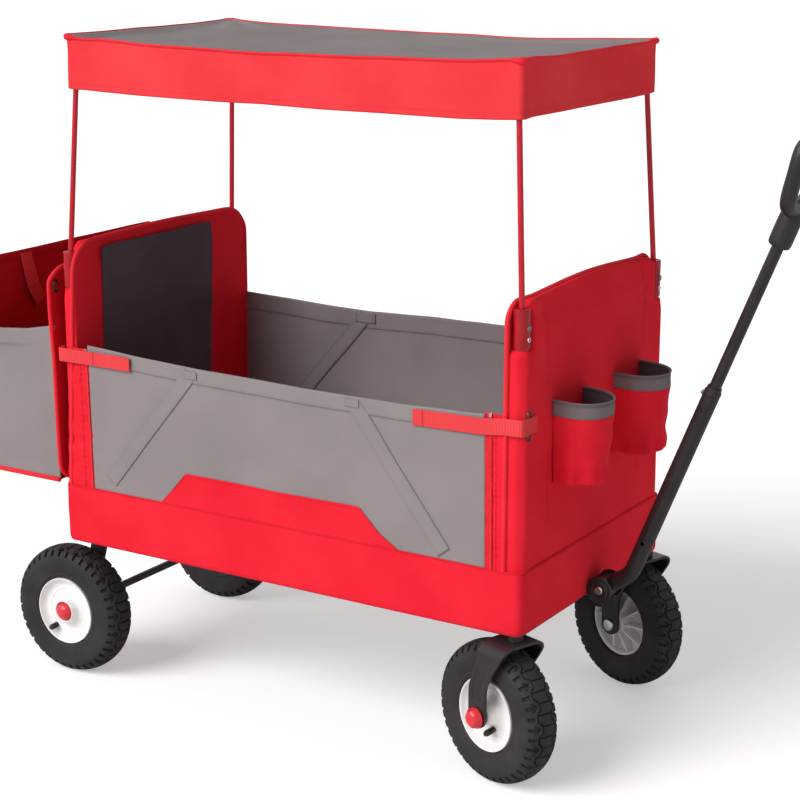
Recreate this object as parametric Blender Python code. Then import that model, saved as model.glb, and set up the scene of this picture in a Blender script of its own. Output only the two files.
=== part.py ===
"""A folding pull wagon with a canopy: fabric tub on a folding steel frame, four wheels and a telescoping handle.

The wagon stands on z = 0 and its handle points along +X. Lengths are in metres. Every moving body is an empty
that sits on its joint's axis, and the pieces of the body are its children.
"""

import math

import bmesh
import bpy
from mathutils import Vector

# Clearances, and how far cutters and welded shapes run past their faces
GAP = 0.0003
RUNNING_GAP = 0.0004
OVERSHOOT = 0.020
WELD = 0.0015

# Wheels and axles
WHEEL_RADIUS = 0.1016
TYRE_WIDTH = 0.054
TYRE_WALL = 0.005
BEAD_HALF_WIDTH = 0.0165
RIM_RADIUS = 0.0522
HUB_LENGTH = 0.058
HUB_BOSS_RADIUS = 0.0165
HUB_RIM_WIDTH = 0.040
HUB_LIP = 0.0072
HUB_WEB_SLOPE = 0.004
HUB_BOSS_FLARE = 0.003
HUB_WEB_FACE = 0.0144
HUB_WEB_BACK = 0.0020
AXLE_RADIUS = 0.006
AXLE_HEAD_RADIUS = 0.009
AXLE_HEAD_HEIGHT = 0.002
VALVE_RADIUS = 0.0030
VALVE_HEIGHT = 0.014
VALVE_AT = (0.0285, 0.0160)
CAP_RADIUS = 0.0150
CAP_HEIGHT = 0.0120
CAP_PROFILE = ((0.0, 0.80), (0.20, 1.0), (0.55, 0.88), (0.88, 0.52), (1.0, 0.22))
AXLE_BEHIND_POST = 0.0277
REAR_WHEEL_INSET = 0.0259
AXLE_BRACKET_THICKNESS = 0.004
AXLE_BRACKET_RADIUS = 0.014
AXLE_BRACKET_SETBACK = 0.010

# Casters
SWIVEL_AHEAD_OF_POST = 0.0018
SWIVEL_INSET = 0.0140
CASTER_TRAIL = 0.0335
CASTER_STEER = math.radians(-18.9)
FORK_THICKNESS = 0.0035
FORK_TYRE_GAP = 0.0050
FORK_ARM_RADIUS = 0.0150
CROWN_THICKNESS = 0.0050
CROWN_BEHIND_AXLE = 0.018
CROWN_AHEAD_OF_STEM = 0.016
STEM_RADIUS = 0.0060
STEM_BELOW_SLEEVE = 0.006
SLEEVE_WALL = 0.0041

# Tub
BODY_LENGTH = 0.7856
BODY_WIDTH = 0.4350
SKIRT_BOTTOM = 0.2202
SKIRT_HEIGHT = 0.0915
SKIRT_THICKNESS = 0.0025
SKIRT_CORNER = 0.0045
SIDE_THICKNESS = 0.0022
SIDE_TOP = 0.5334
SIDE_TUCK = 0.030
WALL_THICKNESS = 0.028
WALL_FABRIC = 0.0024
WALL_TOP = 0.683
WALL_CROWN = 0.005
WALL_CORNER = 0.050
SOCKET_WINDOW_MARGIN = 0.004
SOCKET_WINDOW_LEDGE = 0.0015
SOCKET_CLEARANCE = 0.0006
POST_RADIUS = 0.0095
POST_SIDE_GAP = 0.0014
POST_TOP = 0.665
POST_WALL = 0.0020
SOCKET_DEPTH = 0.053
SOCKET_SEAT = 0.004
SOCKET_SEAT_RADIUS = 0.0025
RAIL_THICKNESS = 0.003
RAIL_HEIGHT = 0.022
RAIL_SHARES = (0.20, 0.58, 0.98)
BAR_WIDTH = 0.020
BAR_HEIGHT = 0.0252
BAR_WALL = 0.0020
BAR_PROUD = 0.0009
PAD_SIDE_MARGIN = 0.0742
PAD_BOTTOM = 0.345
PAD_TOP = 0.668
PAD_THICKNESS = 0.012
PAD_CROWN = 0.004
PAD_CORNER = 0.020
PAD_PROFILE = ((0.0, 0.0), (0.34, -0.001), (0.64, 0.004), (0.75, 0.018), (0.93, 0.055), (1.0, 0.100))

# Folding floor
FLOOR_HINGE_INSET = 0.010
FLOOR_HINGE_Z = 0.269
FLOOR_SIDE_GAP = 0.0095
PANEL_SHEET = 0.003
PANEL_DEPTH = 0.020
FLOOR_RAIL_WIDTH = 0.018
FLOOR_RAIL_INSET = 0.045
HINGE_PIN_RADIUS = 0.0035
KNUCKLE_RADIUS = 0.0072
LUG_THICKNESS = 0.004
LUG_MARGIN = 0.001
LUG_INSET = 0.031
CENTRE_KNUCKLE_INNER = 0.060
CENTRE_KNUCKLE_OUTER = 0.120
MAT_THICKNESS = 0.008
MAT_INSET = 0.020
MAT_EDGE = 0.003
MAT_CORNER = 0.010

# Side straps
STRAP_THICKNESS = 0.0015
STRAP_HEIGHT = 0.024
STRAP_Z = 0.512
FRONT_STRAP_REACH = 0.168
REAR_STRAP_REACH = 0.125
STRAP_RETURN = 0.0115
SIDE_HINGE_OUT = 0.0010
SIDE_HINGE_UP = 0.0005
BUCKLE_WIDTH = 0.012
BUCKLE_HEIGHT = 0.030
BUCKLE_THICKNESS = 0.003

# Storage bag
BAG_DEPTH = 0.165
BAG_SIDE_INSET = 0.0102
BAG_FABRIC = 0.0025
BAG_BOTTOM = 0.3135
BAG_SIDE_TOP = 0.545
BAG_FRONT_TOP = 0.636
BAG_BACK_TOP = 0.640
BAG_SIDE_SLOPE = 0.018

# Cup holders
CUP_WIDTH = 0.086
CUP_STRAIGHT = 0.014
CUP_FABRIC = 0.0022
CUP_TOP = 0.531
CUP_HEIGHT = 0.122
CUP_SPACING = 0.180

# Canopy
CANOPY_SETBACK = 0.0210
CANOPY_SIDE_SETBACK = 0.0223
CANOPY_BOTTOM = 0.9052
CANOPY_TOP = 0.9806
CANOPY_FABRIC = 0.0020
CANOPY_CORNER = 0.006
POLE_RADIUS = 0.0040
POLE_TOP_INSET_X = 0.0117
POLE_TOP_INSET_Y = 0.0096
POLE_BEND_RISE = 0.003
BUTTON_RADIUS = 0.0040
BUTTON_LENGTH = 0.0057
BUTTON_STANDOFF = 0.0030
BUTTON_DROP = 0.025

# Handle
PIVOT_AHEAD_OF_SKIRT = 0.0182
PIVOT_Z = 0.2330
LOWER_TUBE_RADIUS = 0.0118
LOWER_TUBE_WALL = 0.0016
UPPER_TUBE_RADIUS = 0.0082
UPPER_TUBE_WALL = 0.0015
HANDLE_ANGLE = math.radians(68.3)
CRANK_ANGLE = math.radians(33.0)
CRANK_LENGTH = 0.0476
BEND_RADIUS = 0.040
LOWER_TUBE_LENGTH = 0.297
HOLE_RADIUS = 0.0030
LOWER_HOLE_AT = 0.055
UPPER_HOLE_AT = 0.274
TUBE_OVERLAP = 0.050
UPPER_TUBE_END = 0.555
COLLAR_SPIGOT = 0.026
COLLAR_RING = 0.0032
COLLAR_NECK = 0.0060
COLLAR_NECK_WALL = 0.0020
HANDLE_BUTTON_RADIUS = 0.0032
HANDLE_BUTTON_DROP = 0.0050
HANDLE_BUTTON_STANDOFF = 0.0026
HANDLE_BUTTON_STROKE = 0.0013
KNUCKLE_HALF_WIDTH = 0.0140
EAR_THICKNESS = 0.004
EAR_RADIUS = 0.0165
BRACKET_PLATE_DEPTH = 0.0105
BRACKET_PLATE_THICKNESS = 0.005
EAR_FOOT = 0.004
KNUCKLE_BACK = 0.008
BORE_BEND_GAP = 0.004
BOLT_RADIUS = 0.0040
BOLT_HEAD_RADIUS = 0.0062
BOLT_HEAD_HEIGHT = 0.0030
GRIP_START = 0.520
GRIP_SOCKET_RADIUS = 0.0155
GRIP_SOCKET_LENGTH = 0.049
GRIP_BAR_RADIUS = 0.0125
GRIP_WIDTH = 0.120
GRIP_HEIGHT = 0.116
GRIP_LEAN = math.radians(5.0)

# Segment counts
WHEEL_SEGMENTS = 28
ROUND_SEGMENTS = 16
SMALL_SEGMENTS = 12
CORNER_STEPS = 4

# Levels and distances worked out from the sizes above
SKIRT_TOP = SKIRT_BOTTOM + SKIRT_HEIGHT
BAR_BOTTOM = SKIRT_BOTTOM - BAR_PROUD
BAR_TOP = BAR_BOTTOM + BAR_HEIGHT
WALL_OUTER = BODY_LENGTH / 2 - SKIRT_THICKNESS - GAP
WALL_INNER = WALL_OUTER - WALL_THICKNESS
SIDE_OUTER = BODY_WIDTH / 2 - SKIRT_THICKNESS - GAP
SIDE_INNER = SIDE_OUTER - SIDE_THICKNESS
WALL_HALF_WIDTH = SIDE_INNER - GAP
WALL_BOTTOM = BAR_TOP + GAP
POST_X = WALL_OUTER - WALL_FABRIC - RUNNING_GAP - POST_RADIUS
POST_Y = WALL_HALF_WIDTH - WALL_FABRIC - RUNNING_GAP - POST_RADIUS - POST_SIDE_GAP
SOCKET_FLOOR = POST_TOP - SOCKET_DEPTH
BORE_RADIUS = POLE_RADIUS + SOCKET_CLEARANCE
FLOOR_HINGE_X = WALL_INNER - FLOOR_HINGE_INSET
PANEL_TOP = FLOOR_HINGE_Z + KNUCKLE_RADIUS + GAP
PANEL_BOTTOM = PANEL_TOP - PANEL_DEPTH
SWIVEL_X = POST_X + SWIVEL_AHEAD_OF_POST
SWIVEL_Y = BODY_WIDTH / 2 - SWIVEL_INSET
FORK_INNER = HUB_LENGTH / 2 + RUNNING_GAP
FORK_OUTER = FORK_INNER + FORK_THICKNESS
CROWN_BOTTOM = 2 * WHEEL_RADIUS + FORK_TYRE_GAP
CROWN_TOP = CROWN_BOTTOM + CROWN_THICKNESS
SLEEVE_RADIUS = STEM_RADIUS + RUNNING_GAP + SLEEVE_WALL
SLEEVE_BOTTOM = CROWN_TOP + GAP
SLEEVE_TOP = BAR_TOP
SIDE_HINGE_Y = -(BODY_WIDTH / 2 + SIDE_HINGE_OUT)
SIDE_HINGE_Z = SKIRT_TOP + SIDE_HINGE_UP
REAR_AXLE_X = -(POST_X + AXLE_BEHIND_POST)
REAR_WHEEL_Y = BODY_WIDTH / 2 - REAR_WHEEL_INSET
FLOOR_WIDTH = 2 * (SIDE_INNER - FLOOR_SIDE_GAP)
LUG_SPACING = FLOOR_WIDTH - 2 * LUG_INSET
PAD_HALF_WIDTH = WALL_HALF_WIDTH - PAD_SIDE_MARGIN
BAG_WIDTH = 2 * (WALL_HALF_WIDTH - BAG_SIDE_INSET)
CANOPY_LENGTH = BODY_LENGTH - 2 * CANOPY_SETBACK
CANOPY_WIDTH = BODY_WIDTH - 2 * CANOPY_SIDE_SETBACK
PIVOT_X = BODY_LENGTH / 2 + PIVOT_AHEAD_OF_SKIRT

FINISHES = {
    "red_fabric": ((0.60, 0.010, 0.022), 0.75, 0.0),
    "grey_fabric": ((0.25, 0.225, 0.225), 0.85, 0.0),
    "charcoal_fabric": ((0.035, 0.028, 0.030), 0.85, 0.0),
    "red_metal": ((0.60, 0.010, 0.022), 0.35, 0.3),
    "black_metal": ((0.020, 0.017, 0.018), 0.45, 0.4),
    "black_plastic": ((0.018, 0.016, 0.017), 0.50, 0.0),
    "grey_plastic": ((0.10, 0.10, 0.10), 0.50, 0.0),
    "white_plastic": ((0.75, 0.74, 0.73), 0.40, 0.0),
    "red_plastic": ((0.62, 0.030, 0.030), 0.35, 0.0),
    "rubber": ((0.030, 0.028, 0.030), 0.80, 0.0),
    "steel": ((0.55, 0.55, 0.56), 0.30, 1.0),
}


def clear_scene():
    """Remove what the new file holds."""
    for old in list(bpy.data.objects):
        bpy.data.objects.remove(old, do_unlink=True)


def material(name):
    """The Principled material of one finish."""
    found = bpy.data.materials.get(name)
    if found:
        return found
    colour, roughness, metallic = FINISHES[name]
    made = bpy.data.materials.new(name)
    made.use_nodes = True
    shader = made.node_tree.nodes["Principled BSDF"]
    shader.inputs["Base Color"].default_value = (*colour, 1.0)
    shader.inputs["Roughness"].default_value = roughness
    shader.inputs["Metallic"].default_value = metallic
    made.diffuse_color = (*colour, 1.0)
    return made


# Shapes

def loft(sections, ring=False):
    """Skin matching loops of points, capped at both ends or closed into a ring."""
    shape = bmesh.new()
    loops = [[shape.verts.new(point) for point in section] for section in sections]
    pairs = list(zip(loops, loops[1:]))
    if ring:
        pairs.append((loops[-1], loops[0]))
    count = len(loops[0])
    for first, second in pairs:
        for i in range(count):
            j = (i + 1) % count
            shape.faces.new((first[i], first[j], second[j], second[i]))
    if not ring:
        shape.faces.new(list(reversed(loops[0])))
        shape.faces.new(loops[-1])
    bmesh.ops.recalc_face_normals(shape, faces=shape.faces)
    return shape


def circle(centre, axis, radius, segments):
    """Points round a circle about an axis, none of them straight across or straight up."""
    axis = Vector(axis).normalized()
    helper = Vector((0, 0, 1)) if abs(axis.z) < 0.9 else Vector((1, 0, 0))
    across = axis.cross(helper).normalized()
    up = axis.cross(across)
    angles = [math.pi * (2 * i + 1) / segments for i in range(segments)]
    return [Vector(centre) + radius * (math.cos(a) * across + math.sin(a) * up) for a in angles]


def turned(centre, axis, stations, segments=ROUND_SEGMENTS, ring=False):
    """A turned shape: stations are pairs of distance along the axis and radius."""
    axis = Vector(axis).normalized()
    return loft([circle(Vector(centre) + axis * at, axis, radius, segments) for at, radius in stations], ring)


def cylinder(start, end, radius, segments=ROUND_SEGMENTS):
    """A plain round bar between two points."""
    start, end = Vector(start), Vector(end)
    return turned(start, end - start, [(0, radius), ((end - start).length, radius)], segments)


def tube(start, end, outer, inner, segments=ROUND_SEGMENTS):
    """A round tube that is open at both ends."""
    start, end = Vector(start), Vector(end)
    length = (end - start).length
    stations = [(0, outer), (length, outer), (length, inner), (0, inner)]
    return turned(start, end - start, stations, segments, ring=True)


def prism(outline, axis, low, high):
    """An outline pushed along a main axis; its points are the other two coordinates in order."""
    place = {
        "X": lambda u, v, at: (at, u, v),
        "Y": lambda u, v, at: (u, at, v),
        "Z": lambda u, v, at: (u, v, at),
    }[axis]
    return loft([[Vector(place(u, v, at)) for u, v in outline] for at in (low, high)])


def box(low, high):
    """A box between two corners."""
    outline = [(low[0], low[1]), (high[0], low[1]), (high[0], high[1]), (low[0], high[1])]
    return prism(outline, "Z", low[2], high[2])


def arc(centre, radius, first, last, steps):
    """Points along an arc in degrees, both ends included."""
    angles = [math.radians(first + (last - first) * i / steps) for i in range(steps + 1)]
    return [(centre[0] + radius * math.cos(a), centre[1] + radius * math.sin(a)) for a in angles]


def rounded_rectangle(half_x, half_y, corner, steps=CORNER_STEPS):
    """Outline of a rectangle about the origin with round corners."""
    points = []
    for sx, sy, start in ((1, 1, 0), (-1, 1, 90), (-1, -1, 180), (1, -1, 270)):
        centre = (sx * (half_x - corner), sy * (half_y - corner))
        points += arc(centre, corner, start, start + 90, steps)
    return points


def swept(path, normal, radius, segments=SMALL_SEGMENTS, closed=False):
    """A round bar along a path that lies in one plane with the given normal."""
    path = [Vector(p) for p in path]
    normal = Vector(normal).normalized()
    count = len(path)
    sections = []
    for i, point in enumerate(path):
        before = path[i - 1] if closed or i > 0 else path[i]
        after = path[(i + 1) % count] if closed or i < count - 1 else path[i]
        tangent = ((after - point).normalized() + (point - before).normalized()).normalized()
        side = normal.cross(tangent).normalized()
        angles = [2 * math.pi * k / segments for k in range(segments)]
        sections.append([point + radius * (math.cos(a) * side + math.sin(a) * normal) for a in angles])
    return loft(sections, ring=closed)


def combined(target, operand, operation):
    """Boolean of two shapes by the exact solver."""
    pieces = []
    for shape in (target, operand):
        mesh = bpy.data.meshes.new("boolean")
        shape.to_mesh(mesh)
        shape.free()
        made = bpy.data.objects.new("boolean", mesh)
        bpy.context.scene.collection.objects.link(made)
        pieces.append(made)
    cut = pieces[0].modifiers.new("cut", "BOOLEAN")
    cut.operation = operation
    cut.solver = "EXACT"
    cut.object = pieces[1]
    bpy.context.view_layer.update()
    graph = bpy.context.evaluated_depsgraph_get()
    result = bmesh.new()
    evaluated = pieces[0].evaluated_get(graph)
    result.from_mesh(evaluated.to_mesh())
    evaluated.to_mesh_clear()
    for made in pieces:
        mesh = made.data
        bpy.data.objects.remove(made, do_unlink=True)
        bpy.data.meshes.remove(mesh)
    return result


def union(target, *others):
    """One solid from overlapping shapes."""
    for other in others:
        target = combined(target, other, "UNION")
    return target


def cut(target, *cutters):
    """The target with every cutter taken away."""
    for cutter in cutters:
        target = combined(target, cutter, "DIFFERENCE")
    return target


class Body:
    """A rigid group: an empty on the joint's axis that carries its pieces."""

    def __init__(self, name, origin=(0, 0, 0), parent=None):
        self.name = name
        self.origin = Vector(origin)
        self.empty = bpy.data.objects.new(name + "_axis", None)
        self.empty.empty_display_size = 0.03
        bpy.context.scene.collection.objects.link(self.empty)
        if parent:
            self.empty.parent = parent.empty
            self.empty.location = self.origin - parent.origin
        else:
            self.empty.location = self.origin

    def add(self, name, shape, finish):
        """Turn a shape in wagon coordinates into a named object of this body."""
        bmesh.ops.translate(shape, vec=-self.origin, verts=shape.verts)
        mesh = bpy.data.meshes.new(name)
        shape.to_mesh(mesh)
        shape.free()
        mesh.materials.append(material(finish))
        mesh.shade_smooth()
        mesh.set_sharp_from_angle(angle=math.radians(35))
        made = bpy.data.objects.new(name, mesh)
        bpy.context.scene.collection.objects.link(made)
        made.parent = self.empty


# Wheels

def tyre_shape(centre):
    """A hollow tyre, open towards the rim between its two beads."""
    bead = RIM_RADIUS + GAP
    half_height = (WHEEL_RADIUS - bead) / 2
    middle = WHEEL_RADIUS - half_height
    power = 2 / 2.4
    angles = [math.radians(a) for a in range(-30, 211, 30)]

    def side(wall):
        """The section's line at one depth in the wall, from bead to bead."""
        line = [(BEAD_HALF_WIDTH - wall, bead)]
        for a in angles:
            across = (TYRE_WIDTH / 2 - wall) * math.copysign(abs(math.cos(a)) ** power, math.cos(a))
            up = (half_height - wall) * math.copysign(abs(math.sin(a)) ** power, math.sin(a))
            line.append((across, middle + up))
        return line + [(wall - BEAD_HALF_WIDTH, bead)]

    stations = side(0.0) + list(reversed(side(TYRE_WALL)))
    return turned(centre, (0, 1, 0), stations, WHEEL_SEGMENTS, ring=True)


def hub_shape(centre, outward):
    """A wheel hub with a dished outer face (outward is -1 or 1 along Y) and a valve stem."""
    bore = AXLE_RADIUS + RUNNING_GAP
    face = HUB_RIM_WIDTH / 2
    half = HUB_LENGTH / 2
    lip = RIM_RADIUS - HUB_LIP
    stations = [
        (half, bore),
        (half, HUB_BOSS_RADIUS),
        (HUB_WEB_FACE + HUB_WEB_SLOPE * 0.65, HUB_BOSS_RADIUS + HUB_BOSS_FLARE),
        (HUB_WEB_FACE, lip - HUB_WEB_SLOPE),
        (face, lip),
        (face, RIM_RADIUS),
        (-face, RIM_RADIUS),
        (-face, lip),
        (-HUB_WEB_BACK, lip - HUB_WEB_SLOPE),
        (-HUB_WEB_BACK * 1.5, HUB_BOSS_RADIUS + HUB_BOSS_FLARE),
        (-half, HUB_BOSS_RADIUS),
        (-half, bore),
    ]
    hub = turned(centre, (0, outward, 0), stations, WHEEL_SEGMENTS, ring=True)
    start = Vector(centre) + Vector((-VALVE_AT[0], outward * (HUB_WEB_FACE - WELD), -VALVE_AT[1]))
    valve = cylinder(start, start + Vector((0, outward * VALVE_HEIGHT, 0)), VALVE_RADIUS, SMALL_SEGMENTS)
    return union(hub, valve)


def cap_shape(start, outward):
    """A domed hub cap that stands off its seat along Y."""
    stations = [(CAP_HEIGHT * up, CAP_RADIUS * out) for up, out in CAP_PROFILE]
    return turned(start, (0, outward, 0), stations)


def add_wheel(parent, side_name, centre, outward):
    """One wheel that spins on its axle: tyre and hub."""
    wheel = Body(side_name + "_wheel", centre, parent)
    wheel.add(side_name + "_tyre", tyre_shape(centre), "rubber")
    wheel.add(side_name + "_hub", hub_shape(centre, outward), "white_plastic")
    return wheel


def axle_bracket_shape(side):
    """The plate that carries one end of the rear axle."""
    outer = REAR_WHEEL_Y - HUB_LENGTH / 2 - RUNNING_GAP
    top = BAR_BOTTOM - GAP
    inner_x = -(POST_X - BAR_WIDTH / 2) + AXLE_BRACKET_SETBACK
    outer_x = -(POST_X + BAR_WIDTH / 2)
    outline = [(inner_x, top), (outer_x, top)]
    outline += arc((REAR_AXLE_X, WHEEL_RADIUS), AXLE_BRACKET_RADIUS, 170, 360, 8)
    low, high = sorted((side * outer, side * (outer - AXLE_BRACKET_THICKNESS)))
    plate = prism(outline, "Y", low, high)
    hole = cylinder((REAR_AXLE_X, low - OVERSHOOT, WHEEL_RADIUS), (REAR_AXLE_X, high + OVERSHOOT, WHEEL_RADIUS),
                    AXLE_RADIUS + GAP)
    return cut(plate, hole)


def add_rear_running_gear(rear):
    """Rear axle, its brackets and caps, and both rear wheels."""
    half = REAR_WHEEL_Y + HUB_LENGTH / 2
    axle = cylinder((REAR_AXLE_X, -half, WHEEL_RADIUS), (REAR_AXLE_X, half, WHEEL_RADIUS), AXLE_RADIUS)
    rear.add("rear_axle", axle, "black_metal")
    for name, side in (("near", -1), ("far", 1)):
        rear.add(name + "_axle_bracket", axle_bracket_shape(side), "black_metal")
        cap_start = (REAR_AXLE_X, side * (half + RUNNING_GAP), WHEEL_RADIUS)
        rear.add(name + "_axle_cap", cap_shape(cap_start, side), "red_plastic")
        add_wheel(rear, name + "_rear", (REAR_AXLE_X, side * REAR_WHEEL_Y, WHEEL_RADIUS), side)


def fork_shape(swivel_y):
    """A caster fork: crown over the tyre, an arm down each side and the stem that turns in its sleeve."""
    axle_x = SWIVEL_X - CASTER_TRAIL
    crown_back = axle_x - CROWN_BEHIND_AXLE
    crown_front = SWIVEL_X + CROWN_AHEAD_OF_STEM
    crown = box((crown_back, swivel_y - FORK_OUTER, CROWN_BOTTOM),
                (crown_front, swivel_y + FORK_OUTER, CROWN_TOP))
    outline = [(crown_front, CROWN_TOP), (crown_back, CROWN_TOP)]
    outline += arc((axle_x, WHEEL_RADIUS), FORK_ARM_RADIUS, 175, 350, 8)
    arms = []
    for side in (-1, 1):
        low, high = sorted((swivel_y + side * FORK_INNER, swivel_y + side * FORK_OUTER))
        arms.append(prism(outline, "Y", low, high))
    stem = cylinder((SWIVEL_X, swivel_y, CROWN_TOP - WELD), (SWIVEL_X, swivel_y, SLEEVE_TOP - STEM_BELOW_SLEEVE),
                    STEM_RADIUS)
    fork = union(crown, arms[0], arms[1], stem)
    reach = FORK_OUTER + OVERSHOOT
    hole = cylinder((axle_x, swivel_y - reach, WHEEL_RADIUS), (axle_x, swivel_y + reach, WHEEL_RADIUS),
                    AXLE_RADIUS + GAP)
    return cut(fork, hole)


def add_caster(front, name, side):
    """One swivelling caster with its fork, axle bolt, cap and wheel."""
    swivel_y = side * SWIVEL_Y
    axle_x = SWIVEL_X - CASTER_TRAIL
    caster = Body(name + "_caster", (SWIVEL_X, swivel_y, CROWN_TOP), front)
    caster.add(name + "_caster_fork", fork_shape(swivel_y), "black_metal")
    centre = Vector((axle_x, swivel_y, WHEEL_RADIUS))
    head_at = FORK_OUTER + RUNNING_GAP
    stations = [
        (-head_at, AXLE_RADIUS),
        (head_at, AXLE_RADIUS),
        (head_at, AXLE_HEAD_RADIUS),
        (head_at + AXLE_HEAD_HEIGHT, AXLE_HEAD_RADIUS * 0.9),
    ]
    caster.add(name + "_caster_bolt", turned(centre, (0, -side, 0), stations), "steel")
    cap_start = centre + Vector((0, side * (head_at + GAP), 0))
    caster.add(name + "_caster_cap", cap_shape(cap_start, side), "red_plastic")
    add_wheel(caster, name + "_front", centre, side)
    caster.empty.rotation_euler.z = CASTER_STEER
    return caster


# End walls

def wall_outline(inset=0.0, bottom=WALL_BOTTOM):
    """The end wall seen from outside: round upper corners and a slightly crowned top."""
    half = WALL_HALF_WIDTH - inset
    corner = WALL_CORNER - inset
    centre_y = half - corner
    centre_z = WALL_TOP - inset - corner
    right = arc((centre_y, centre_z), corner, 0, 90, 6)
    crown = [(centre_y * s, WALL_TOP - inset + WALL_CROWN * (1 - s * s)) for s in (0.5, 0.0, -0.5)]
    left = arc((-centre_y, centre_z), corner, 90, 180, 6)
    return [(-half, bottom), (half, bottom)] + right + crown + left


def wall_cover_shape(side):
    """A fabric sleeve open at the bottom, cut away outside round both pole sockets."""
    low, high = sorted((side * WALL_INNER, side * WALL_OUTER))
    cover = prism(wall_outline(), "X", low, high)
    low, high = sorted((side * (WALL_INNER + WALL_FABRIC), side * (WALL_OUTER - WALL_FABRIC)))
    hollow = prism(wall_outline(WALL_FABRIC, WALL_BOTTOM - OVERSHOOT), "X", low, high)
    cover = cut(cover, hollow)
    reach = POST_RADIUS + SOCKET_WINDOW_MARGIN
    for y_side in (-1, 1):
        xs = sorted((side * (WALL_INNER + WALL_FABRIC + SOCKET_WINDOW_LEDGE), side * (WALL_OUTER + OVERSHOOT)))
        ys = sorted((y_side * (POST_Y - reach), y_side * (WALL_HALF_WIDTH + OVERSHOOT)))
        window = box((xs[0], ys[0], SOCKET_FLOOR), (xs[1], ys[1], WALL_TOP + OVERSHOOT))
        cover = cut(cover, window)
    return cover


def post_shape(side, y_side, bottom):
    """A tubular corner post whose top is the canopy pole's socket, with a hole for the push button."""
    base = (side * POST_X, y_side * POST_Y, bottom)
    height = POST_TOP - bottom
    seat = SOCKET_FLOOR - bottom
    stations = [
        (0, POST_RADIUS),
        (height, POST_RADIUS),
        (height, BORE_RADIUS),
        (seat, BORE_RADIUS),
        (seat, SOCKET_SEAT_RADIUS),
        (seat - SOCKET_SEAT, SOCKET_SEAT_RADIUS),
        (seat - SOCKET_SEAT, POST_RADIUS - POST_WALL),
        (0, POST_RADIUS - POST_WALL),
    ]
    post = turned(base, (0, 0, 1), stations, ring=True)
    start = Vector((side * POST_X, y_side * POST_Y, POST_TOP - BUTTON_DROP))
    hole = cylinder(start, start + Vector((side * 2 * POST_RADIUS, 0, 0)), BUTTON_RADIUS + GAP, SMALL_SEGMENTS)
    return cut(post, hole)


def cross_bar_shape(side, half_length):
    """The lower bar of an end frame with the two lugs that hold the floor's hinge pin."""
    xs = sorted((side * (POST_X - BAR_WIDTH / 2), side * (POST_X + BAR_WIDTH / 2)))
    bar = box((xs[0], -half_length, BAR_BOTTOM), (xs[1], half_length, BAR_TOP))
    past = half_length + OVERSHOOT
    inside = box((xs[0] + BAR_WALL, -past, BAR_BOTTOM + BAR_WALL), (xs[1] - BAR_WALL, past, BAR_TOP - BAR_WALL))
    bar = cut(bar, inside)
    lug_radius = KNUCKLE_RADIUS + LUG_MARGIN
    lug_outer = min(FLOOR_HINGE_X + lug_radius, WALL_INNER - GAP)
    root_x = POST_X - BAR_WIDTH / 2 + WELD
    root_top = BAR_TOP - GAP
    outline = [(root_x, BAR_BOTTOM + BAR_WIDTH / 5), (root_x, root_top), (lug_outer, root_top)]
    outline += arc((FLOOR_HINGE_X, FLOOR_HINGE_Z), lug_radius, 0, 180, 8)
    outline += [(FLOOR_HINGE_X - lug_radius, FLOOR_HINGE_Z - lug_radius * 0.75)]
    outline = [(side * x, z) for x, z in outline]
    for y_side in (-1, 1):
        low, high = sorted((y_side * LUG_SPACING / 2, y_side * (LUG_SPACING / 2 + LUG_THICKNESS)))
        bar = union(bar, prism(outline, "Y", low, high))
    axis_x = side * FLOOR_HINGE_X
    hole = cylinder((axis_x, -LUG_SPACING, FLOOR_HINGE_Z), (axis_x, LUG_SPACING, FLOOR_HINGE_Z),
                    HINGE_PIN_RADIUS + GAP, SMALL_SEGMENTS)
    return cut(bar, hole)


def rail_shape(side, middle_z):
    """A flat rail of an end frame, welded between its two posts."""
    half = POST_Y - POST_RADIUS + WELD
    low, high = sorted((side * (POST_X - RAIL_THICKNESS / 2), side * (POST_X + RAIL_THICKNESS / 2)))
    return box((low, -half, middle_z - RAIL_HEIGHT / 2), (high, half, middle_z + RAIL_HEIGHT / 2))


def end_frame_shape(side, bottom):
    """The upright frame inside an end wall: two posts and the rails between them."""
    frame = post_shape(side, 1, bottom)
    for share in RAIL_SHARES:
        frame = union(frame, rail_shape(side, WALL_BOTTOM + share * (SOCKET_FLOOR - WALL_BOTTOM)))
    return union(frame, post_shape(side, -1, bottom))


def hinge_pin_shape(side):
    """The pin on which one half of the floor turns."""
    half = LUG_SPACING / 2 + LUG_THICKNESS
    x = side * FLOOR_HINGE_X
    return cylinder((x, -half, FLOOR_HINGE_Z), (x, half, FLOOR_HINGE_Z), HINGE_PIN_RADIUS, SMALL_SEGMENTS)


def add_end_wall(body, name, side, post_bottom, bar_half):
    """Upright frame, cross bar, fabric cover and hinge pin of one end."""
    body.add(name + "_wall_frame", end_frame_shape(side, post_bottom), "red_metal")
    body.add(name + "_cross_bar", cross_bar_shape(side, bar_half), "black_metal")
    body.add(name + "_wall_cover", wall_cover_shape(side), "red_fabric")
    body.add(name + "_floor_pin", hinge_pin_shape(side), "steel")


def add_socket_buttons(body, name, side):
    """The push buttons that hold the canopy poles in their sockets."""
    for y_name, y_side in (("near", -1), ("far", 1)):
        seat = Vector((side * POST_X, y_side * POST_Y, POST_TOP - BUTTON_DROP))
        tip = seat + Vector((side * (POST_RADIUS + BUTTON_STANDOFF), 0, 0))
        button = Body(y_name + "_" + name + "_socket_button", tip, body)
        shape = cylinder(tip - Vector((side * BUTTON_LENGTH, 0, 0)), tip, BUTTON_RADIUS, SMALL_SEGMENTS)
        button.add(y_name + "_" + name + "_button", shape, "grey_plastic")


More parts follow.
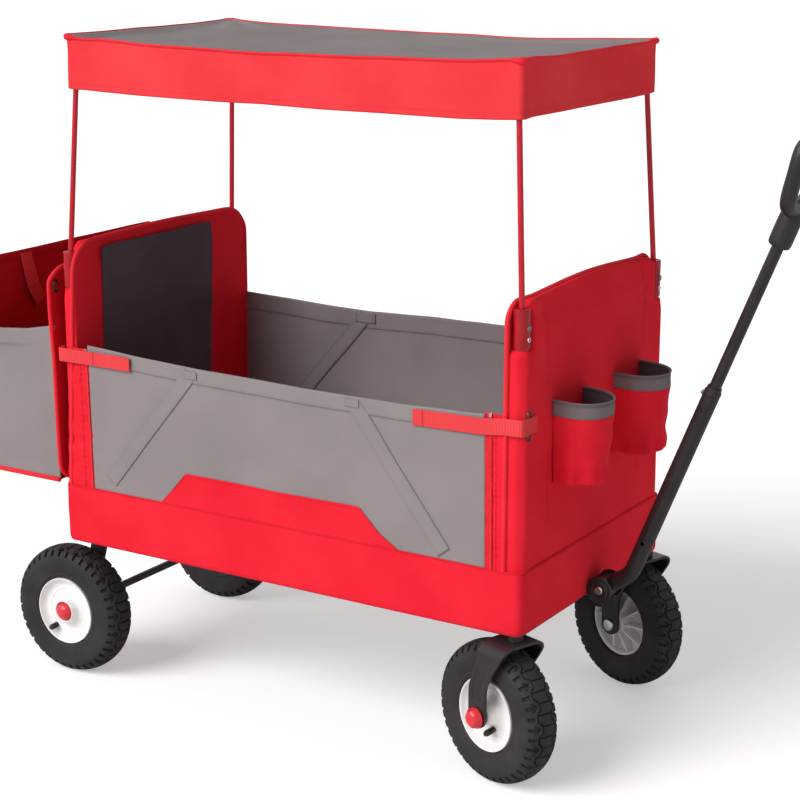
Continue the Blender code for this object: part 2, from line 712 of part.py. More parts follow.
def pad_shape():
    """The backrest cushion on the rear wall: drawn-in edges and a crowned face."""
    centre_z = (PAD_BOTTOM + PAD_TOP) / 2
    half_z = (PAD_TOP - PAD_BOTTOM) / 2
    back = -(WALL_INNER - GAP)
    sections = []
    for share, inset in PAD_PROFILE:
        outline = rounded_rectangle(PAD_HALF_WIDTH - inset, half_z - inset, PAD_CORNER, 3)
        depth = (PAD_THICKNESS + PAD_CROWN) * share
        sections.append([Vector((back + depth, y, centre_z + z)) for y, z in outline])
    return loft(sections)


# Sides and skirt

def skirt_shape():
    """The fabric skirt round the floor."""
    half_x, half_y = BODY_LENGTH / 2, BODY_WIDTH / 2
    outer = rounded_rectangle(half_x, half_y, SKIRT_CORNER)
    inner = rounded_rectangle(half_x - SKIRT_THICKNESS, half_y - SKIRT_THICKNESS, SKIRT_CORNER - SKIRT_THICKNESS)
    rows = ((outer, SKIRT_BOTTOM), (outer, SKIRT_TOP), (inner, SKIRT_TOP), (inner, SKIRT_BOTTOM))
    return loft([[Vector((x, y, z)) for x, y in outline] for outline, z in rows], ring=True)


def side_panel_shape(side, bottom):
    """One side of the tub, hanging between the end walls."""
    half = WALL_INNER - 2 * GAP
    low, high = sorted((side * SIDE_INNER, side * SIDE_OUTER))
    return box((-half, low, bottom), (half, high, SIDE_TOP))


def strap_shape(side, reach):
    """A webbing strap from the near side panel round the corner of an end wall."""
    inner_y = -(SIDE_OUTER + GAP)
    outer_y = inner_y - STRAP_THICKNESS
    inner_x = WALL_OUTER + GAP
    outer_x = inner_x + STRAP_THICKNESS
    outline = [
        (outer_x - reach, outer_y),
        (outer_x, outer_y),
        (outer_x, outer_y + STRAP_RETURN),
        (inner_x, outer_y + STRAP_RETURN),
        (inner_x, inner_y),
        (outer_x - reach, inner_y),
    ]
    outline = [(side * x, y) for x, y in outline]
    return prism(outline, "Z", STRAP_Z - STRAP_HEIGHT / 2, STRAP_Z + STRAP_HEIGHT / 2)


def add_near_side(rear):
    """The near side, which drops outward on its lower edge."""
    near = Body("near_side", (0, SIDE_HINGE_Y, SIDE_HINGE_Z), rear)
    near.add("near_side_panel", side_panel_shape(-1, SIDE_HINGE_Z), "grey_fabric")
    near.add("front_side_strap", strap_shape(1, FRONT_STRAP_REACH), "red_fabric")
    near.add("rear_side_strap", strap_shape(-1, REAR_STRAP_REACH), "red_fabric")


def buckle_shape():
    """The metal loop on the front wall that the front strap passes into."""
    start_y = -(SIDE_OUTER + GAP + STRAP_THICKNESS) + STRAP_RETURN + GAP
    low = (WALL_OUTER + GAP, start_y, STRAP_Z - BUCKLE_HEIGHT / 2)
    high = (WALL_OUTER + GAP + BUCKLE_THICKNESS, start_y + BUCKLE_WIDTH, STRAP_Z + BUCKLE_HEIGHT / 2)
    return box(low, high)


# Bag and cup holders

def bag_shape():
    """The rear storage bag: low sides, a tall outer panel and a back against the wall."""
    back = -(WALL_OUTER + GAP)
    outer = back - BAG_DEPTH
    half = BAG_WIDTH / 2
    outline = [
        (back, BAG_BOTTOM),
        (outer, BAG_BOTTOM),
        (outer, BAG_FRONT_TOP),
        (outer + BAG_FABRIC, BAG_FRONT_TOP),
        (outer + BAG_SIDE_SLOPE, BAG_SIDE_TOP),
        (back - BAG_SIDE_SLOPE, BAG_SIDE_TOP),
        (back - BAG_FABRIC, BAG_BACK_TOP),
        (back, BAG_BACK_TOP),
    ]
    bag = prism(outline, "Y", -half, half)
    hollow = box((outer + BAG_FABRIC, -half + BAG_FABRIC, BAG_BOTTOM + BAG_FABRIC),
                 (back - BAG_FABRIC, half - BAG_FABRIC, BAG_BACK_TOP + OVERSHOOT))
    return cut(bag, hollow)


def cup_outline(inset):
    """A cup holder from above: flat against the wall, round in front."""
    radius = CUP_WIDTH / 2 - inset
    back = WALL_OUTER + GAP + inset
    centre_x = WALL_OUTER + GAP + CUP_STRAIGHT
    return [(back, -radius)] + arc((centre_x, 0), radius, -90, 90, 12) + [(back, radius)]


def cup_shape(centre_y):
    """An open fabric pocket for a cup on the front wall."""
    floor = CUP_TOP - CUP_HEIGHT
    outer = [(x, y + centre_y) for x, y in cup_outline(0.0)]
    inner = [(x, y + centre_y) for x, y in cup_outline(CUP_FABRIC)]
    rows = ((outer, floor), (outer, CUP_TOP), (inner, CUP_TOP), (inner, floor + CUP_FABRIC))
    return loft([[Vector((x, y, z)) for x, y in outline] for outline, z in rows])


# Floor

def floor_panel_shape(side):
    """Half of the folding floor: sheet, rails, the tube on the end pin and centre hinge knuckles."""
    inner_end = side * 2 * GAP
    outer_end = side * (FLOOR_HINGE_X - KNUCKLE_RADIUS - LUG_MARGIN - GAP)
    xs = sorted((inner_end, outer_end))
    half = FLOOR_WIDTH / 2
    sheet_bottom = PANEL_TOP - PANEL_SHEET
    panel = box((xs[0], -half, sheet_bottom), (xs[1], half, PANEL_TOP))
    rail_outer = half - FLOOR_RAIL_INSET
    rail_end = side * (FLOOR_HINGE_X - HINGE_PIN_RADIUS - GAP)
    rail_xs = sorted((inner_end, rail_end))
    for y_side in (-1, 1):
        ys = sorted((y_side * rail_outer, y_side * (rail_outer - FLOOR_RAIL_WIDTH)))
        rail = box((rail_xs[0], ys[0], PANEL_BOTTOM), (rail_xs[1], ys[1], sheet_bottom + WELD))
        panel = union(panel, rail)
    centre_xs = sorted((inner_end, side * (2 * GAP + FLOOR_RAIL_WIDTH)))
    bar_half = rail_outer - WELD
    centre_bar = box((centre_xs[0], -bar_half, PANEL_BOTTOM), (centre_xs[1], bar_half, sheet_bottom + WELD))
    panel = union(panel, centre_bar)
    x = side * FLOOR_HINGE_X
    tube_half = LUG_SPACING / 2 - GAP
    end_tube = cylinder((x, -tube_half, FLOOR_HINGE_Z), (x, tube_half, FLOOR_HINGE_Z), KNUCKLE_RADIUS)
    panel = union(panel, end_tube)
    inner, outer = CENTRE_KNUCKLE_INNER, CENTRE_KNUCKLE_OUTER
    own = [(-outer, -inner), (inner, outer)] if side < 0 else [(-inner + GAP, inner - GAP)]
    other = [(-inner - GAP, inner + GAP)] if side < 0 else [(-outer - GAP, -inner), (inner, outer + GAP)]
    for low, high in own:
        panel = union(panel, cylinder((0, low, PANEL_BOTTOM), (0, high, PANEL_BOTTOM), KNUCKLE_RADIUS))
    for low, high in other:
        panel = cut(panel, cylinder((0, low, PANEL_BOTTOM), (0, high, PANEL_BOTTOM), KNUCKLE_RADIUS + 2 * GAP))
    for axis_x, axis_z in ((x, FLOOR_HINGE_Z), (0, PANEL_BOTTOM)):
        bore = cylinder((axis_x, -FLOOR_WIDTH, axis_z), (axis_x, FLOOR_WIDTH, axis_z), HINGE_PIN_RADIUS + GAP,
                        SMALL_SEGMENTS)
        panel = cut(panel, bore)
    return panel


def mat_shape(side):
    """Half of the floor mat."""
    half_x = (FLOOR_HINGE_X - MAT_INSET - 3 * GAP) / 2
    centre_x = side * (half_x + 3 * GAP)
    bottom = PANEL_TOP + GAP
    rows = ((0.0, MAT_EDGE), (MAT_THICKNESS * 0.35, 0.0), (MAT_THICKNESS * 0.65, 0.0), (MAT_THICKNESS, MAT_EDGE))
    sections = []
    for height, inset in rows:
        outline = rounded_rectangle(half_x - inset, FLOOR_WIDTH / 2 - MAT_EDGE - inset, MAT_CORNER, 3)
        sections.append([Vector((centre_x + x, y, bottom + height)) for x, y in outline])
    return loft(sections)


def add_floor(rear):
    """Both halves of the floor, chained from the rear end; returns the front half."""
    rear_half = Body("floor_rear", (-FLOOR_HINGE_X, 0, FLOOR_HINGE_Z), rear)
    rear_half.add("rear_floor_panel", floor_panel_shape(-1), "black_plastic")
    rear_half.add("rear_floor_mat", mat_shape(-1), "charcoal_fabric")
    outer = CENTRE_KNUCKLE_OUTER
    pin = cylinder((0, -outer, PANEL_BOTTOM), (0, outer, PANEL_BOTTOM), HINGE_PIN_RADIUS, SMALL_SEGMENTS)
    rear_half.add("floor_centre_pin", pin, "steel")
    front_half = Body("floor_front", (0, 0, PANEL_BOTTOM), rear_half)
    front_half.add("front_floor_panel", floor_panel_shape(1), "black_plastic")
    front_half.add("front_floor_mat", mat_shape(1), "charcoal_fabric")
    return front_half


# Handle

def handle_direction():
    """Unit vector up the straight part of the handle."""
    return Vector((math.cos(HANDLE_ANGLE), 0, math.sin(HANDLE_ANGLE)))


def handle_point(distance):
    """A point on the straight part, measured from the bend's corner."""
    corner = Vector((PIVOT_X + CRANK_LENGTH * math.cos(CRANK_ANGLE), 0, PIVOT_Z + CRANK_LENGTH * math.sin(CRANK_ANGLE)))
    return corner + handle_direction() * distance


def lower_tube_shape():
    """The cranked lower tube with its pivot knuckle, bored from the top for the sliding tube."""
    pivot = Vector((PIVOT_X, 0, PIVOT_Z))
    crank = Vector((math.cos(CRANK_ANGLE), 0, math.sin(CRANK_ANGLE)))
    turn = HANDLE_ANGLE - CRANK_ANGLE
    tangent = BEND_RADIUS * math.tan(turn / 2)
    corner = handle_point(0)
    bend_start = corner - crank * tangent
    centre = bend_start + Vector((-crank.z, 0, crank.x)) * BEND_RADIUS
    path = [pivot + crank * KNUCKLE_BACK]
    for i in range(6):
        a = CRANK_ANGLE - math.pi / 2 + turn * i / 5
        path.append(centre + BEND_RADIUS * Vector((math.cos(a), 0, math.sin(a))))
    path.append(handle_point(LOWER_TUBE_LENGTH))
    bar = swept(path, (0, 1, 0), LOWER_TUBE_RADIUS, ROUND_SEGMENTS)
    knuckle = cylinder(pivot + Vector((0, -KNUCKLE_HALF_WIDTH, 0)), pivot + Vector((0, KNUCKLE_HALF_WIDTH, 0)),
                       EAR_RADIUS - LUG_MARGIN)
    bar = union(bar, knuckle)
    bore = cylinder(handle_point(tangent + BORE_BEND_GAP), handle_point(LOWER_TUBE_LENGTH + OVERSHOOT),
                    LOWER_TUBE_RADIUS - LOWER_TUBE_WALL)
    past = Vector((0, KNUCKLE_HALF_WIDTH + OVERSHOOT, 0))
    bolt_hole = cylinder(pivot - past, pivot + past, BOLT_RADIUS + GAP, SMALL_SEGMENTS)
    bar = cut(bar, bore, bolt_hole)
    for at in (LOWER_HOLE_AT, UPPER_HOLE_AT):
        start = handle_point(at)
        outside = start - Vector((0, 2 * LOWER_TUBE_RADIUS, 0))
        bar = cut(bar, cylinder(start, outside, HOLE_RADIUS, SMALL_SEGMENTS))
    return cut(bar, button_hole_shape())


def handle_back():
    """Unit vector across the handle, towards the wagon."""
    return Vector((-math.sin(HANDLE_ANGLE), 0, math.cos(HANDLE_ANGLE)))


def button_hole_shape():
    """The cutter for the handle button's hole through the lower tube and the collar."""
    start = handle_point(LOWER_TUBE_LENGTH - HANDLE_BUTTON_DROP)
    return cylinder(start, start + handle_back() * 2 * LOWER_TUBE_RADIUS, HANDLE_BUTTON_RADIUS + GAP, SMALL_SEGMENTS)


def collar_shape():
    """The collar in the top of the lower tube: a spigot inside, a ring on the edge and a neck above."""
    bore = UPPER_TUBE_RADIUS + RUNNING_GAP
    spigot = LOWER_TUBE_RADIUS - LOWER_TUBE_WALL - GAP
    ring_low = COLLAR_SPIGOT + GAP
    ring_high = ring_low + COLLAR_RING
    stations = [
        (0, bore),
        (0, spigot),
        (ring_low, spigot),
        (ring_low, LOWER_TUBE_RADIUS + GAP),
        (ring_high, LOWER_TUBE_RADIUS),
        (ring_high, bore + COLLAR_NECK_WALL),
        (ring_high + COLLAR_NECK, bore + COLLAR_NECK_WALL * 0.8),
        (ring_high + COLLAR_NECK, bore),
    ]
    start = handle_point(LOWER_TUBE_LENGTH - COLLAR_SPIGOT)
    return cut(turned(start, handle_direction(), stations, ring=True), button_hole_shape())


def grip_shape():
    """The D grip: a socket on the upper tube and a closed loop above it that leans back a little."""
    along = handle_direction()
    bore_end = UPPER_TUBE_END + GAP - GRIP_START
    length = GRIP_SOCKET_LENGTH
    stations = [
        (bore_end, UPPER_TUBE_RADIUS + GAP),
        (0, UPPER_TUBE_RADIUS + GAP),
        (0, GRIP_SOCKET_RADIUS * 0.93),
        (length * 0.10, GRIP_SOCKET_RADIUS),
        (length * 0.85, GRIP_SOCKET_RADIUS),
        (length, GRIP_SOCKET_RADIUS * 0.80),
    ]
    socket = turned(handle_point(GRIP_START), along, stations)
    half = GRIP_WIDTH / 2 - GRIP_BAR_RADIUS
    height = GRIP_HEIGHT - 2 * GRIP_BAR_RADIUS
    foot = handle_point(GRIP_START + length + GRIP_BAR_RADIUS * 0.45)
    loop_up = along * math.cos(GRIP_LEAN) + handle_back() * math.sin(GRIP_LEAN)
    right = [(0.32, 0.00), (0.74, 0.12), (0.90, 0.34), (0.96, 0.58), (1.00, 0.80), (0.88, 0.95), (0.62, 1.00)]
    outline = right + [(0.0, 1.00)] + [(-u, v) for u, v in reversed(right)]
    path = [foot + loop_up * (v * height) + Vector((0, u * half, 0)) for u, v in outline]
    loop = swept(path, loop_up.cross(Vector((0, 1, 0))), GRIP_BAR_RADIUS, SMALL_SEGMENTS, closed=True)
    return union(socket, loop)


def bracket_shape():
    """The handle's bracket: a plate under the front bar and two ears outside the skirt."""
    ear_inner = KNUCKLE_HALF_WIDTH + RUNNING_GAP
    ear_outer = ear_inner + EAR_THICKNESS
    plate_top = BAR_BOTTOM - GAP
    plate_bottom = plate_top - BRACKET_PLATE_DEPTH
    back = POST_X - BAR_WIDTH / 2
    outline = [(PIVOT_X + EAR_FOOT, plate_bottom), (back, plate_bottom), (back, plate_top)]
    outline += [(PIVOT_X - EAR_RADIUS * 0.80, plate_top)]
    outline += list(reversed(arc((PIVOT_X, PIVOT_Z), EAR_RADIUS, -60, 200, 12)))
    ears = [prism(outline, "Y", *sorted((s * ear_inner, s * ear_outer))) for s in (-1, 1)]
    plate = box((back, -ear_outer, plate_top - BRACKET_PLATE_THICKNESS),
                (POST_X + BAR_WIDTH / 2 - EAR_FOOT / 2, ear_outer, plate_top))
    bracket = union(plate, ears[0], ears[1])
    past = ear_outer + OVERSHOOT
    hole = cylinder((PIVOT_X, -past, PIVOT_Z), (PIVOT_X, past, PIVOT_Z), BOLT_RADIUS + GAP, SMALL_SEGMENTS)
    return cut(bracket, hole)


def pivot_bolt_shape():
    """The bolt on which the handle tilts, with a head on each side."""
    half = KNUCKLE_HALF_WIDTH + RUNNING_GAP + EAR_THICKNESS + GAP
    stations = [
        (-half - BOLT_HEAD_HEIGHT, BOLT_HEAD_RADIUS * 0.8),
        (-half, BOLT_HEAD_RADIUS),
        (-half, BOLT_RADIUS),
        (half, BOLT_RADIUS),
        (half, BOLT_HEAD_RADIUS),
        (half + BOLT_HEAD_HEIGHT, BOLT_HEAD_RADIUS * 0.8),
    ]
    return turned((PIVOT_X, 0, PIVOT_Z), (0, 1, 0), stations, SMALL_SEGMENTS)


def add_handle(front):
    """The tilting, telescoping handle and the collar's push button."""
    front.add("handle_bracket", bracket_shape(), "black_metal")
    front.add("handle_pivot_bolt", pivot_bolt_shape(), "steel")
    handle = Body("handle", (PIVOT_X, 0, PIVOT_Z), front)
    handle.add("handle_lower_tube", lower_tube_shape(), "black_metal")
    handle.add("handle_collar", collar_shape(), "black_plastic")
    upper = Body("handle_upper", handle_point(LOWER_TUBE_LENGTH), handle)
    start = handle_point(LOWER_TUBE_LENGTH - TUBE_OVERLAP)
    end = handle_point(UPPER_TUBE_END)
    upper.add("handle_upper_tube", tube(start, end, UPPER_TUBE_RADIUS, UPPER_TUBE_RADIUS - UPPER_TUBE_WALL),
              "black_metal")
    upper.add("handle_grip", grip_shape(), "black_plastic")
    axis = handle_point(LOWER_TUBE_LENGTH - HANDLE_BUTTON_DROP)
    inner = UPPER_TUBE_RADIUS + RUNNING_GAP + HANDLE_BUTTON_STROKE + GAP
    tip = axis + handle_back() * (LOWER_TUBE_RADIUS + HANDLE_BUTTON_STANDOFF)
    button = Body("handle_button", tip, handle)
    shape = cylinder(axis + handle_back() * inner, tip, HANDLE_BUTTON_RADIUS, SMALL_SEGMENTS)
    button.add("handle_collar_button", shape, "grey_plastic")


# Canopy

def pole_shape(side, y_side):
    """A canopy pole: upright in its socket, then leaning in to the canopy's corner."""
    foot = Vector((side * POST_X, y_side * POST_Y, SOCKET_FLOOR + GAP))
    bend = Vector((foot.x, foot.y, POST_TOP + POLE_BEND_RISE))
    top = Vector((side * (CANOPY_LENGTH / 2 - POLE_TOP_INSET_X), y_side * (CANOPY_WIDTH / 2 - POLE_TOP_INSET_Y),
                  CANOPY_TOP - CANOPY_FABRIC - 2 * GAP))
    lean = top - bend
    normal = lean.cross(Vector((0, 0, 1)))
    return swept([foot, bend, top], normal, POLE_RADIUS, SMALL_SEGMENTS)


def canopy_cover_shape():
    """The canopy: a flat top with a hanging valance all round, open below."""
    half_x, half_y = CANOPY_LENGTH / 2, CANOPY_WIDTH / 2
    outer = rounded_rectangle(half_x, half_y, CANOPY_CORNER)
    inner = rounded_rectangle(half_x - CANOPY_FABRIC, half_y - CANOPY_FABRIC, CANOPY_CORNER - CANOPY_FABRIC)
    rows = (
        (inner, CANOPY_TOP - CANOPY_FABRIC),
        (inner, CANOPY_BOTTOM),
        (outer, CANOPY_BOTTOM),
        (outer, CANOPY_TOP),
    )
    return loft([[Vector((x, y, z)) for x, y in outline] for outline, z in rows])


def add_canopy(rear, front):
    """Poles and cover; each pair of poles lifts out of its sockets."""
    for name, side, parent in (("rear", -1, rear), ("front", 1, front)):
        hoop = Body("canopy_" + name, (side * POST_X, 0, POST_TOP), parent)
        for y_name, y_side in (("near", -1), ("far", 1)):
            hoop.add(y_name + "_" + name + "_pole", pole_shape(side, y_side), "red_metal")
        if side < 0:
            hoop.add("canopy_cover", canopy_cover_shape(), "red_fabric")


def add_rear_end():
    """The rear end, which is the root of the wagon."""
    rear = Body("rear_end")
    add_end_wall(rear, "rear", -1, BAR_BOTTOM, POST_Y - POST_RADIUS - GAP)
    add_socket_buttons(rear, "rear", -1)
    rear.add("rear_backrest_pad", pad_shape(), "charcoal_fabric")
    rear.add("storage_bag", bag_shape(), "red_fabric")
    rear.add("skirt", skirt_shape(), "red_fabric")
    rear.add("far_side_panel", side_panel_shape(1, SKIRT_TOP - SIDE_TUCK), "grey_fabric")
    add_near_side(rear)
    add_rear_running_gear(rear)
    return rear


def add_front_end(floor):
    """The front end with its casters, cup holders and handle."""
    front = Body("front_end", (FLOOR_HINGE_X, 0, FLOOR_HINGE_Z), floor)
    add_end_wall(front, "front", 1, SLEEVE_TOP + GAP, SWIVEL_Y - SLEEVE_RADIUS - GAP)
    add_socket_buttons(front, "front", 1)
    for name, y_side in (("near", -1), ("far", 1)):
        low = (SWIVEL_X, y_side * SWIVEL_Y, SLEEVE_BOTTOM)
        high = (SWIVEL_X, y_side * SWIVEL_Y, SLEEVE_TOP)
        front.add(name + "_caster_sleeve", tube(low, high, SLEEVE_RADIUS, STEM_RADIUS + RUNNING_GAP), "black_metal")
    front.add("near_cup_holder", cup_shape(-CUP_SPACING / 2), "red_fabric")
    front.add("far_cup_holder", cup_shape(CUP_SPACING / 2), "red_fabric")
    front.add("strap_buckle", buckle_shape(), "black_metal")
    add_caster(front, "near", -1)
    add_caster(front, "far", 1)
    add_handle(front)
    return front


def stand_on_origin(root):
    """Move the wagon so that the middle of its outer box, on the ground, is the origin."""
    bpy.context.view_layer.update()
    graph = bpy.context.evaluated_depsgraph_get()
    corners = []
    for made in bpy.data.objects:
        if made.type == "MESH":
            seen = made.evaluated_get(graph)
            corners += [seen.matrix_world @ vertex.co for vertex in seen.data.vertices]
    low = [min(c[i] for c in corners) for i in range(3)]
    high = [max(c[i] for c in corners) for i in range(3)]
    root.empty.location = (-(low[0] + high[0]) / 2, -(low[1] + high[1]) / 2, -low[2])


def main():
    """Build the whole wagon."""
    clear_scene()
    rear = add_rear_end()
    floor = add_floor(rear)
    front = add_front_end(floor)
    add_canopy(rear, front)
    stand_on_origin(rear)


main()
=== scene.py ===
"""Folding pull wagon with a canopy: cloth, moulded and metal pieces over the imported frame."""
import sys
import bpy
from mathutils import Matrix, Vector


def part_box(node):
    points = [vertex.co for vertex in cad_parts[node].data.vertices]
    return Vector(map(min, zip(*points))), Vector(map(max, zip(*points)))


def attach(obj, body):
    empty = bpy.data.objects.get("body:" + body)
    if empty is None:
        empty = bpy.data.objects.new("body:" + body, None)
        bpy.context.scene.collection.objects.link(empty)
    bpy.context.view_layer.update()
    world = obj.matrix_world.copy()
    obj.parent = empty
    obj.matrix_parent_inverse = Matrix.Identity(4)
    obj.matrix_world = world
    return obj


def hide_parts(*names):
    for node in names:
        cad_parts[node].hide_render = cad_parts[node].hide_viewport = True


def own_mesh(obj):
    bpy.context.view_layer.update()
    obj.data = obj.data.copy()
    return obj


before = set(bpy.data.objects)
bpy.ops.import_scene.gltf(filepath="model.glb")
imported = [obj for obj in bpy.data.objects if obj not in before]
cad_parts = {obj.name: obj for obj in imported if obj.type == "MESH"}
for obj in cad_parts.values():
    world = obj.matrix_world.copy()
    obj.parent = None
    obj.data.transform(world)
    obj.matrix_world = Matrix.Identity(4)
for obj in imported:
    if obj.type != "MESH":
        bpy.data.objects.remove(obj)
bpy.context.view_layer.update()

import logging
import math
from dataclasses import dataclass, field
from enum import Enum

import bmesh
import bpy
import numpy as np
from mathutils import Matrix, Vector

LOG = logging.getLogger("wagon")

# Names of the texture coordinates and of the seam value that the materials read
WEAVE = "weave"
SEAM = "seam"

# Lengths in metres
SKIRT_BOTTOM = 0.2202
WHEEL_RADIUS = 0.1016
GROOVE_FLANK = 0.0007
MERGE_DISTANCE = 2e-6
SLIVER_LENGTH = 1e-7
SEWN_WITHIN = 0.0005

# Spans in x handed to soft pieces: the x that stays, and the x that goes back with the front end. Nothing
# shortens a piece; on a zip or strap a span only decides whether fold_flat is called.
NEAR_SIDE_SPAN = (-0.3620, 0.3360)
FAR_SIDE_SPAN = (-0.3614, 0.3614)
FRONT_STRAP_SPAN = (-0.3620, 0.3918)

# Cloth waves: the shortest as a share of the longest, and how far and how fast each bends across
WAVE_SHORTEST = 0.35
WAVE_BEND = 1.6
WAVE_CROSS_RATE = 2.3
WAVE_GAIN = 1.7

PUFF_FRAMES = 20


def wagon_shift() -> np.ndarray:
    """Offset from the wagon's own frame, centred on the skirt, to the row frame.

    Returns:
        Three metres to add to a point.
    """
    low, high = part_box("skirt")
    return np.array([(low.x + high.x) / 2, (low.y + high.y) / 2, low.z - SKIRT_BOTTOM])


SHIFT = wagon_shift()


# Curves and surfaces


def smooth(t: np.ndarray) -> np.ndarray:
    """Smooth step: 3t squared less 2t cubed, with t held between 0 and 1."""
    t = np.clip(t, 0.0, 1.0)
    return t * t * (3.0 - 2.0 * t)


def bell(x: np.ndarray, centre: float, width: float) -> np.ndarray:
    """Bell curve: e to the power of minus the squared distance from the centre in widths."""
    return np.exp(-(((x - centre) / width) ** 2))


def groove(distance: np.ndarray, width: float) -> np.ndarray:
    """1 within half the width of a line, falling to 0 over a narrow flank."""
    return smooth((width / 2 - np.abs(distance)) / GROOVE_FLANK + 0.5)


def ramp(x: np.ndarray, knots: list[tuple[float, float]]) -> np.ndarray:
    """Piecewise straight curve through (x, value) knots."""
    table = np.array(knots)
    return np.interp(x, table[:, 0], table[:, 1])


def waves(u: np.ndarray, v: np.ndarray, seed: int, longest: float, count: int = 7) -> np.ndarray:
    """Soft cloth waves: a sum of plane sine waves in random directions, each bent by a slower cross wave.

    Args:
        u: First coordinate in metres.
        v: Second coordinate in metres.
        seed: Chooses the directions, lengths and phases.
        longest: Longest wave length in metres.
        count: Number of waves.

    Returns:
        Heights between about -1 and 1.
    """
    random = np.random.default_rng(seed)
    total = np.zeros(np.broadcast(u, v).shape)
    weight = 0.0
    for turn, share, phase, bend in random.uniform(0.0, 1.0, (count, 4)):
        length = longest * (WAVE_SHORTEST + (1.0 - WAVE_SHORTEST) * share)
        along = (u * math.cos(math.pi * turn) + v * math.sin(math.pi * turn)) / length
        across = (v * math.cos(math.pi * turn) - u * math.sin(math.pi * turn)) / length
        bent = WAVE_BEND * np.sin(WAVE_CROSS_RATE * across + math.tau * bend)
        total += length * np.sin(math.tau * (along + phase) + bent)
        weight += length
    return total / weight * WAVE_GAIN


def spline(points: np.ndarray, count: int) -> np.ndarray:
    """Smooth curve through points: Catmull-Rom cubics, sampled evenly in the point number.

    Args:
        points: Control points, one per row.
        count: Number of samples.

    Returns:
        The samples, one per row.
    """
    points = np.asarray(points, float)
    padded = np.concatenate([2 * points[:1] - points[1:2], points, 2 * points[-1:] - points[-2:-1]])
    at = np.linspace(0.0, len(points) - 1 - 1e-9, count)
    first = at.astype(int)
    t = (at - first)[:, None]
    a, b, c, d = (padded[first + k] for k in range(4))
    return 0.5 * (2 * b + (c - a) * t + (2 * a - 5 * b + 4 * c - d) * t**2 + (3 * b - a - 3 * c + d) * t**3)


def travelled(path: np.ndarray) -> np.ndarray:
    """Distance along a path at each of its points."""
    return np.concatenate([[0.0], np.cumsum(np.linalg.norm(np.diff(path, axis=0), axis=1))])


def even(path: np.ndarray, count: int, closed: bool = False) -> np.ndarray:
    """The same path sampled at equal distances along its length."""
    if closed:
        path = np.concatenate([path, path[:1]])
    travel = travelled(path)
    at = np.linspace(0.0, travel[-1], count, endpoint=not closed)
    return np.stack([np.interp(at, travel, path[:, k]) for k in range(path.shape[1])], axis=1)


def rounded_rectangle(half_x: float, half_y: float, radius: float, corner: int = 10,
                      side: int = 60) -> np.ndarray:
    """Closed outline of a rectangle with round corners, with the same number of points at any size.

    Args:
        half_x: Half the length along x.
        half_y: Half the length along y.
        radius: Corner radius.
        corner: Steps round each corner.
        side: Steps along each side.

    Returns:
        Points, one per row, anticlockwise from the right side's lower end.
    """
    pieces = []
    signs = ((1, 1), (-1, 1), (-1, -1), (1, -1))
    for k, (sx, sy) in enumerate(signs):
        angle = math.pi / 2 * (k + np.linspace(0.0, 1.0, corner + 1))
        centre = np.array([sx * (half_x - radius), sy * (half_y - radius)])
        pieces.append(centre + radius * np.stack([np.cos(angle), np.sin(angle)], axis=1))
        nx, ny = signs[(k + 1) % 4]
        start = pieces[-1][-1]
        turn = math.pi / 2 * (k + 1)
        end = np.array([nx * (half_x - radius), ny * (half_y - radius)])
        end = end + radius * np.array([math.cos(turn), math.sin(turn)])
        share = np.linspace(0.0, 1.0, side + 1)[1:-1, None]
        pieces.append(start + (end - start) * share)
    return np.concatenate(pieces)


def across_path(path: np.ndarray, reference: np.ndarray, closed: bool) -> tuple[np.ndarray, np.ndarray]:
    """Directions across a path at each of its points.

    Args:
        path: Points of the path.
        reference: Direction that the first result stays closest to.
        closed: True where the path is a loop.

    Returns:
        The reference made square to the path, and the direction square to both.
    """
    if closed:
        tangent = np.roll(path, -1, axis=0) - np.roll(path, 1, axis=0)
    else:
        tangent = np.gradient(path, axis=0)
    tangent = tangent / np.linalg.norm(tangent, axis=1, keepdims=True)
    reference = np.broadcast_to(np.asarray(reference, float), path.shape)
    normal = reference - np.sum(reference * tangent, axis=1, keepdims=True) * tangent
    normal = normal / np.linalg.norm(normal, axis=1, keepdims=True)
    return normal, np.cross(tangent, normal)


def carried(path: np.ndarray, profile: np.ndarray, reference: tuple[float, float, float],
            closed: bool = False, scale: np.ndarray | float = 1.0) -> np.ndarray:
    """A profile carried along a path, with its first axis near the reference direction.

    Args:
        path: Points of the path.
        profile: Two-column closed profile, or one profile per path point.
        reference: Direction that the profile's first axis stays closest to.
        closed: True where the path is a loop.
        scale: One factor, or one per path point.

    Returns:
        Grid of points: path rows by profile columns.
    """
    normal, third = across_path(path, np.array(reference), closed)
    scale = np.broadcast_to(np.asarray(scale, float), (len(path),))[:, None, None]
    profile = np.broadcast_to(profile, (len(path),) + profile.shape[-2:])
    offset = profile[..., :1] * normal[:, None] + profile[..., 1:] * third[:, None]
    return path[:, None] + scale * offset


def circle(radius: float, sides: int) -> np.ndarray:
    """Closed circle profile."""
    angle = math.tau * np.arange(sides) / sides
    return radius * np.stack([np.cos(angle), np.sin(angle)], axis=1)


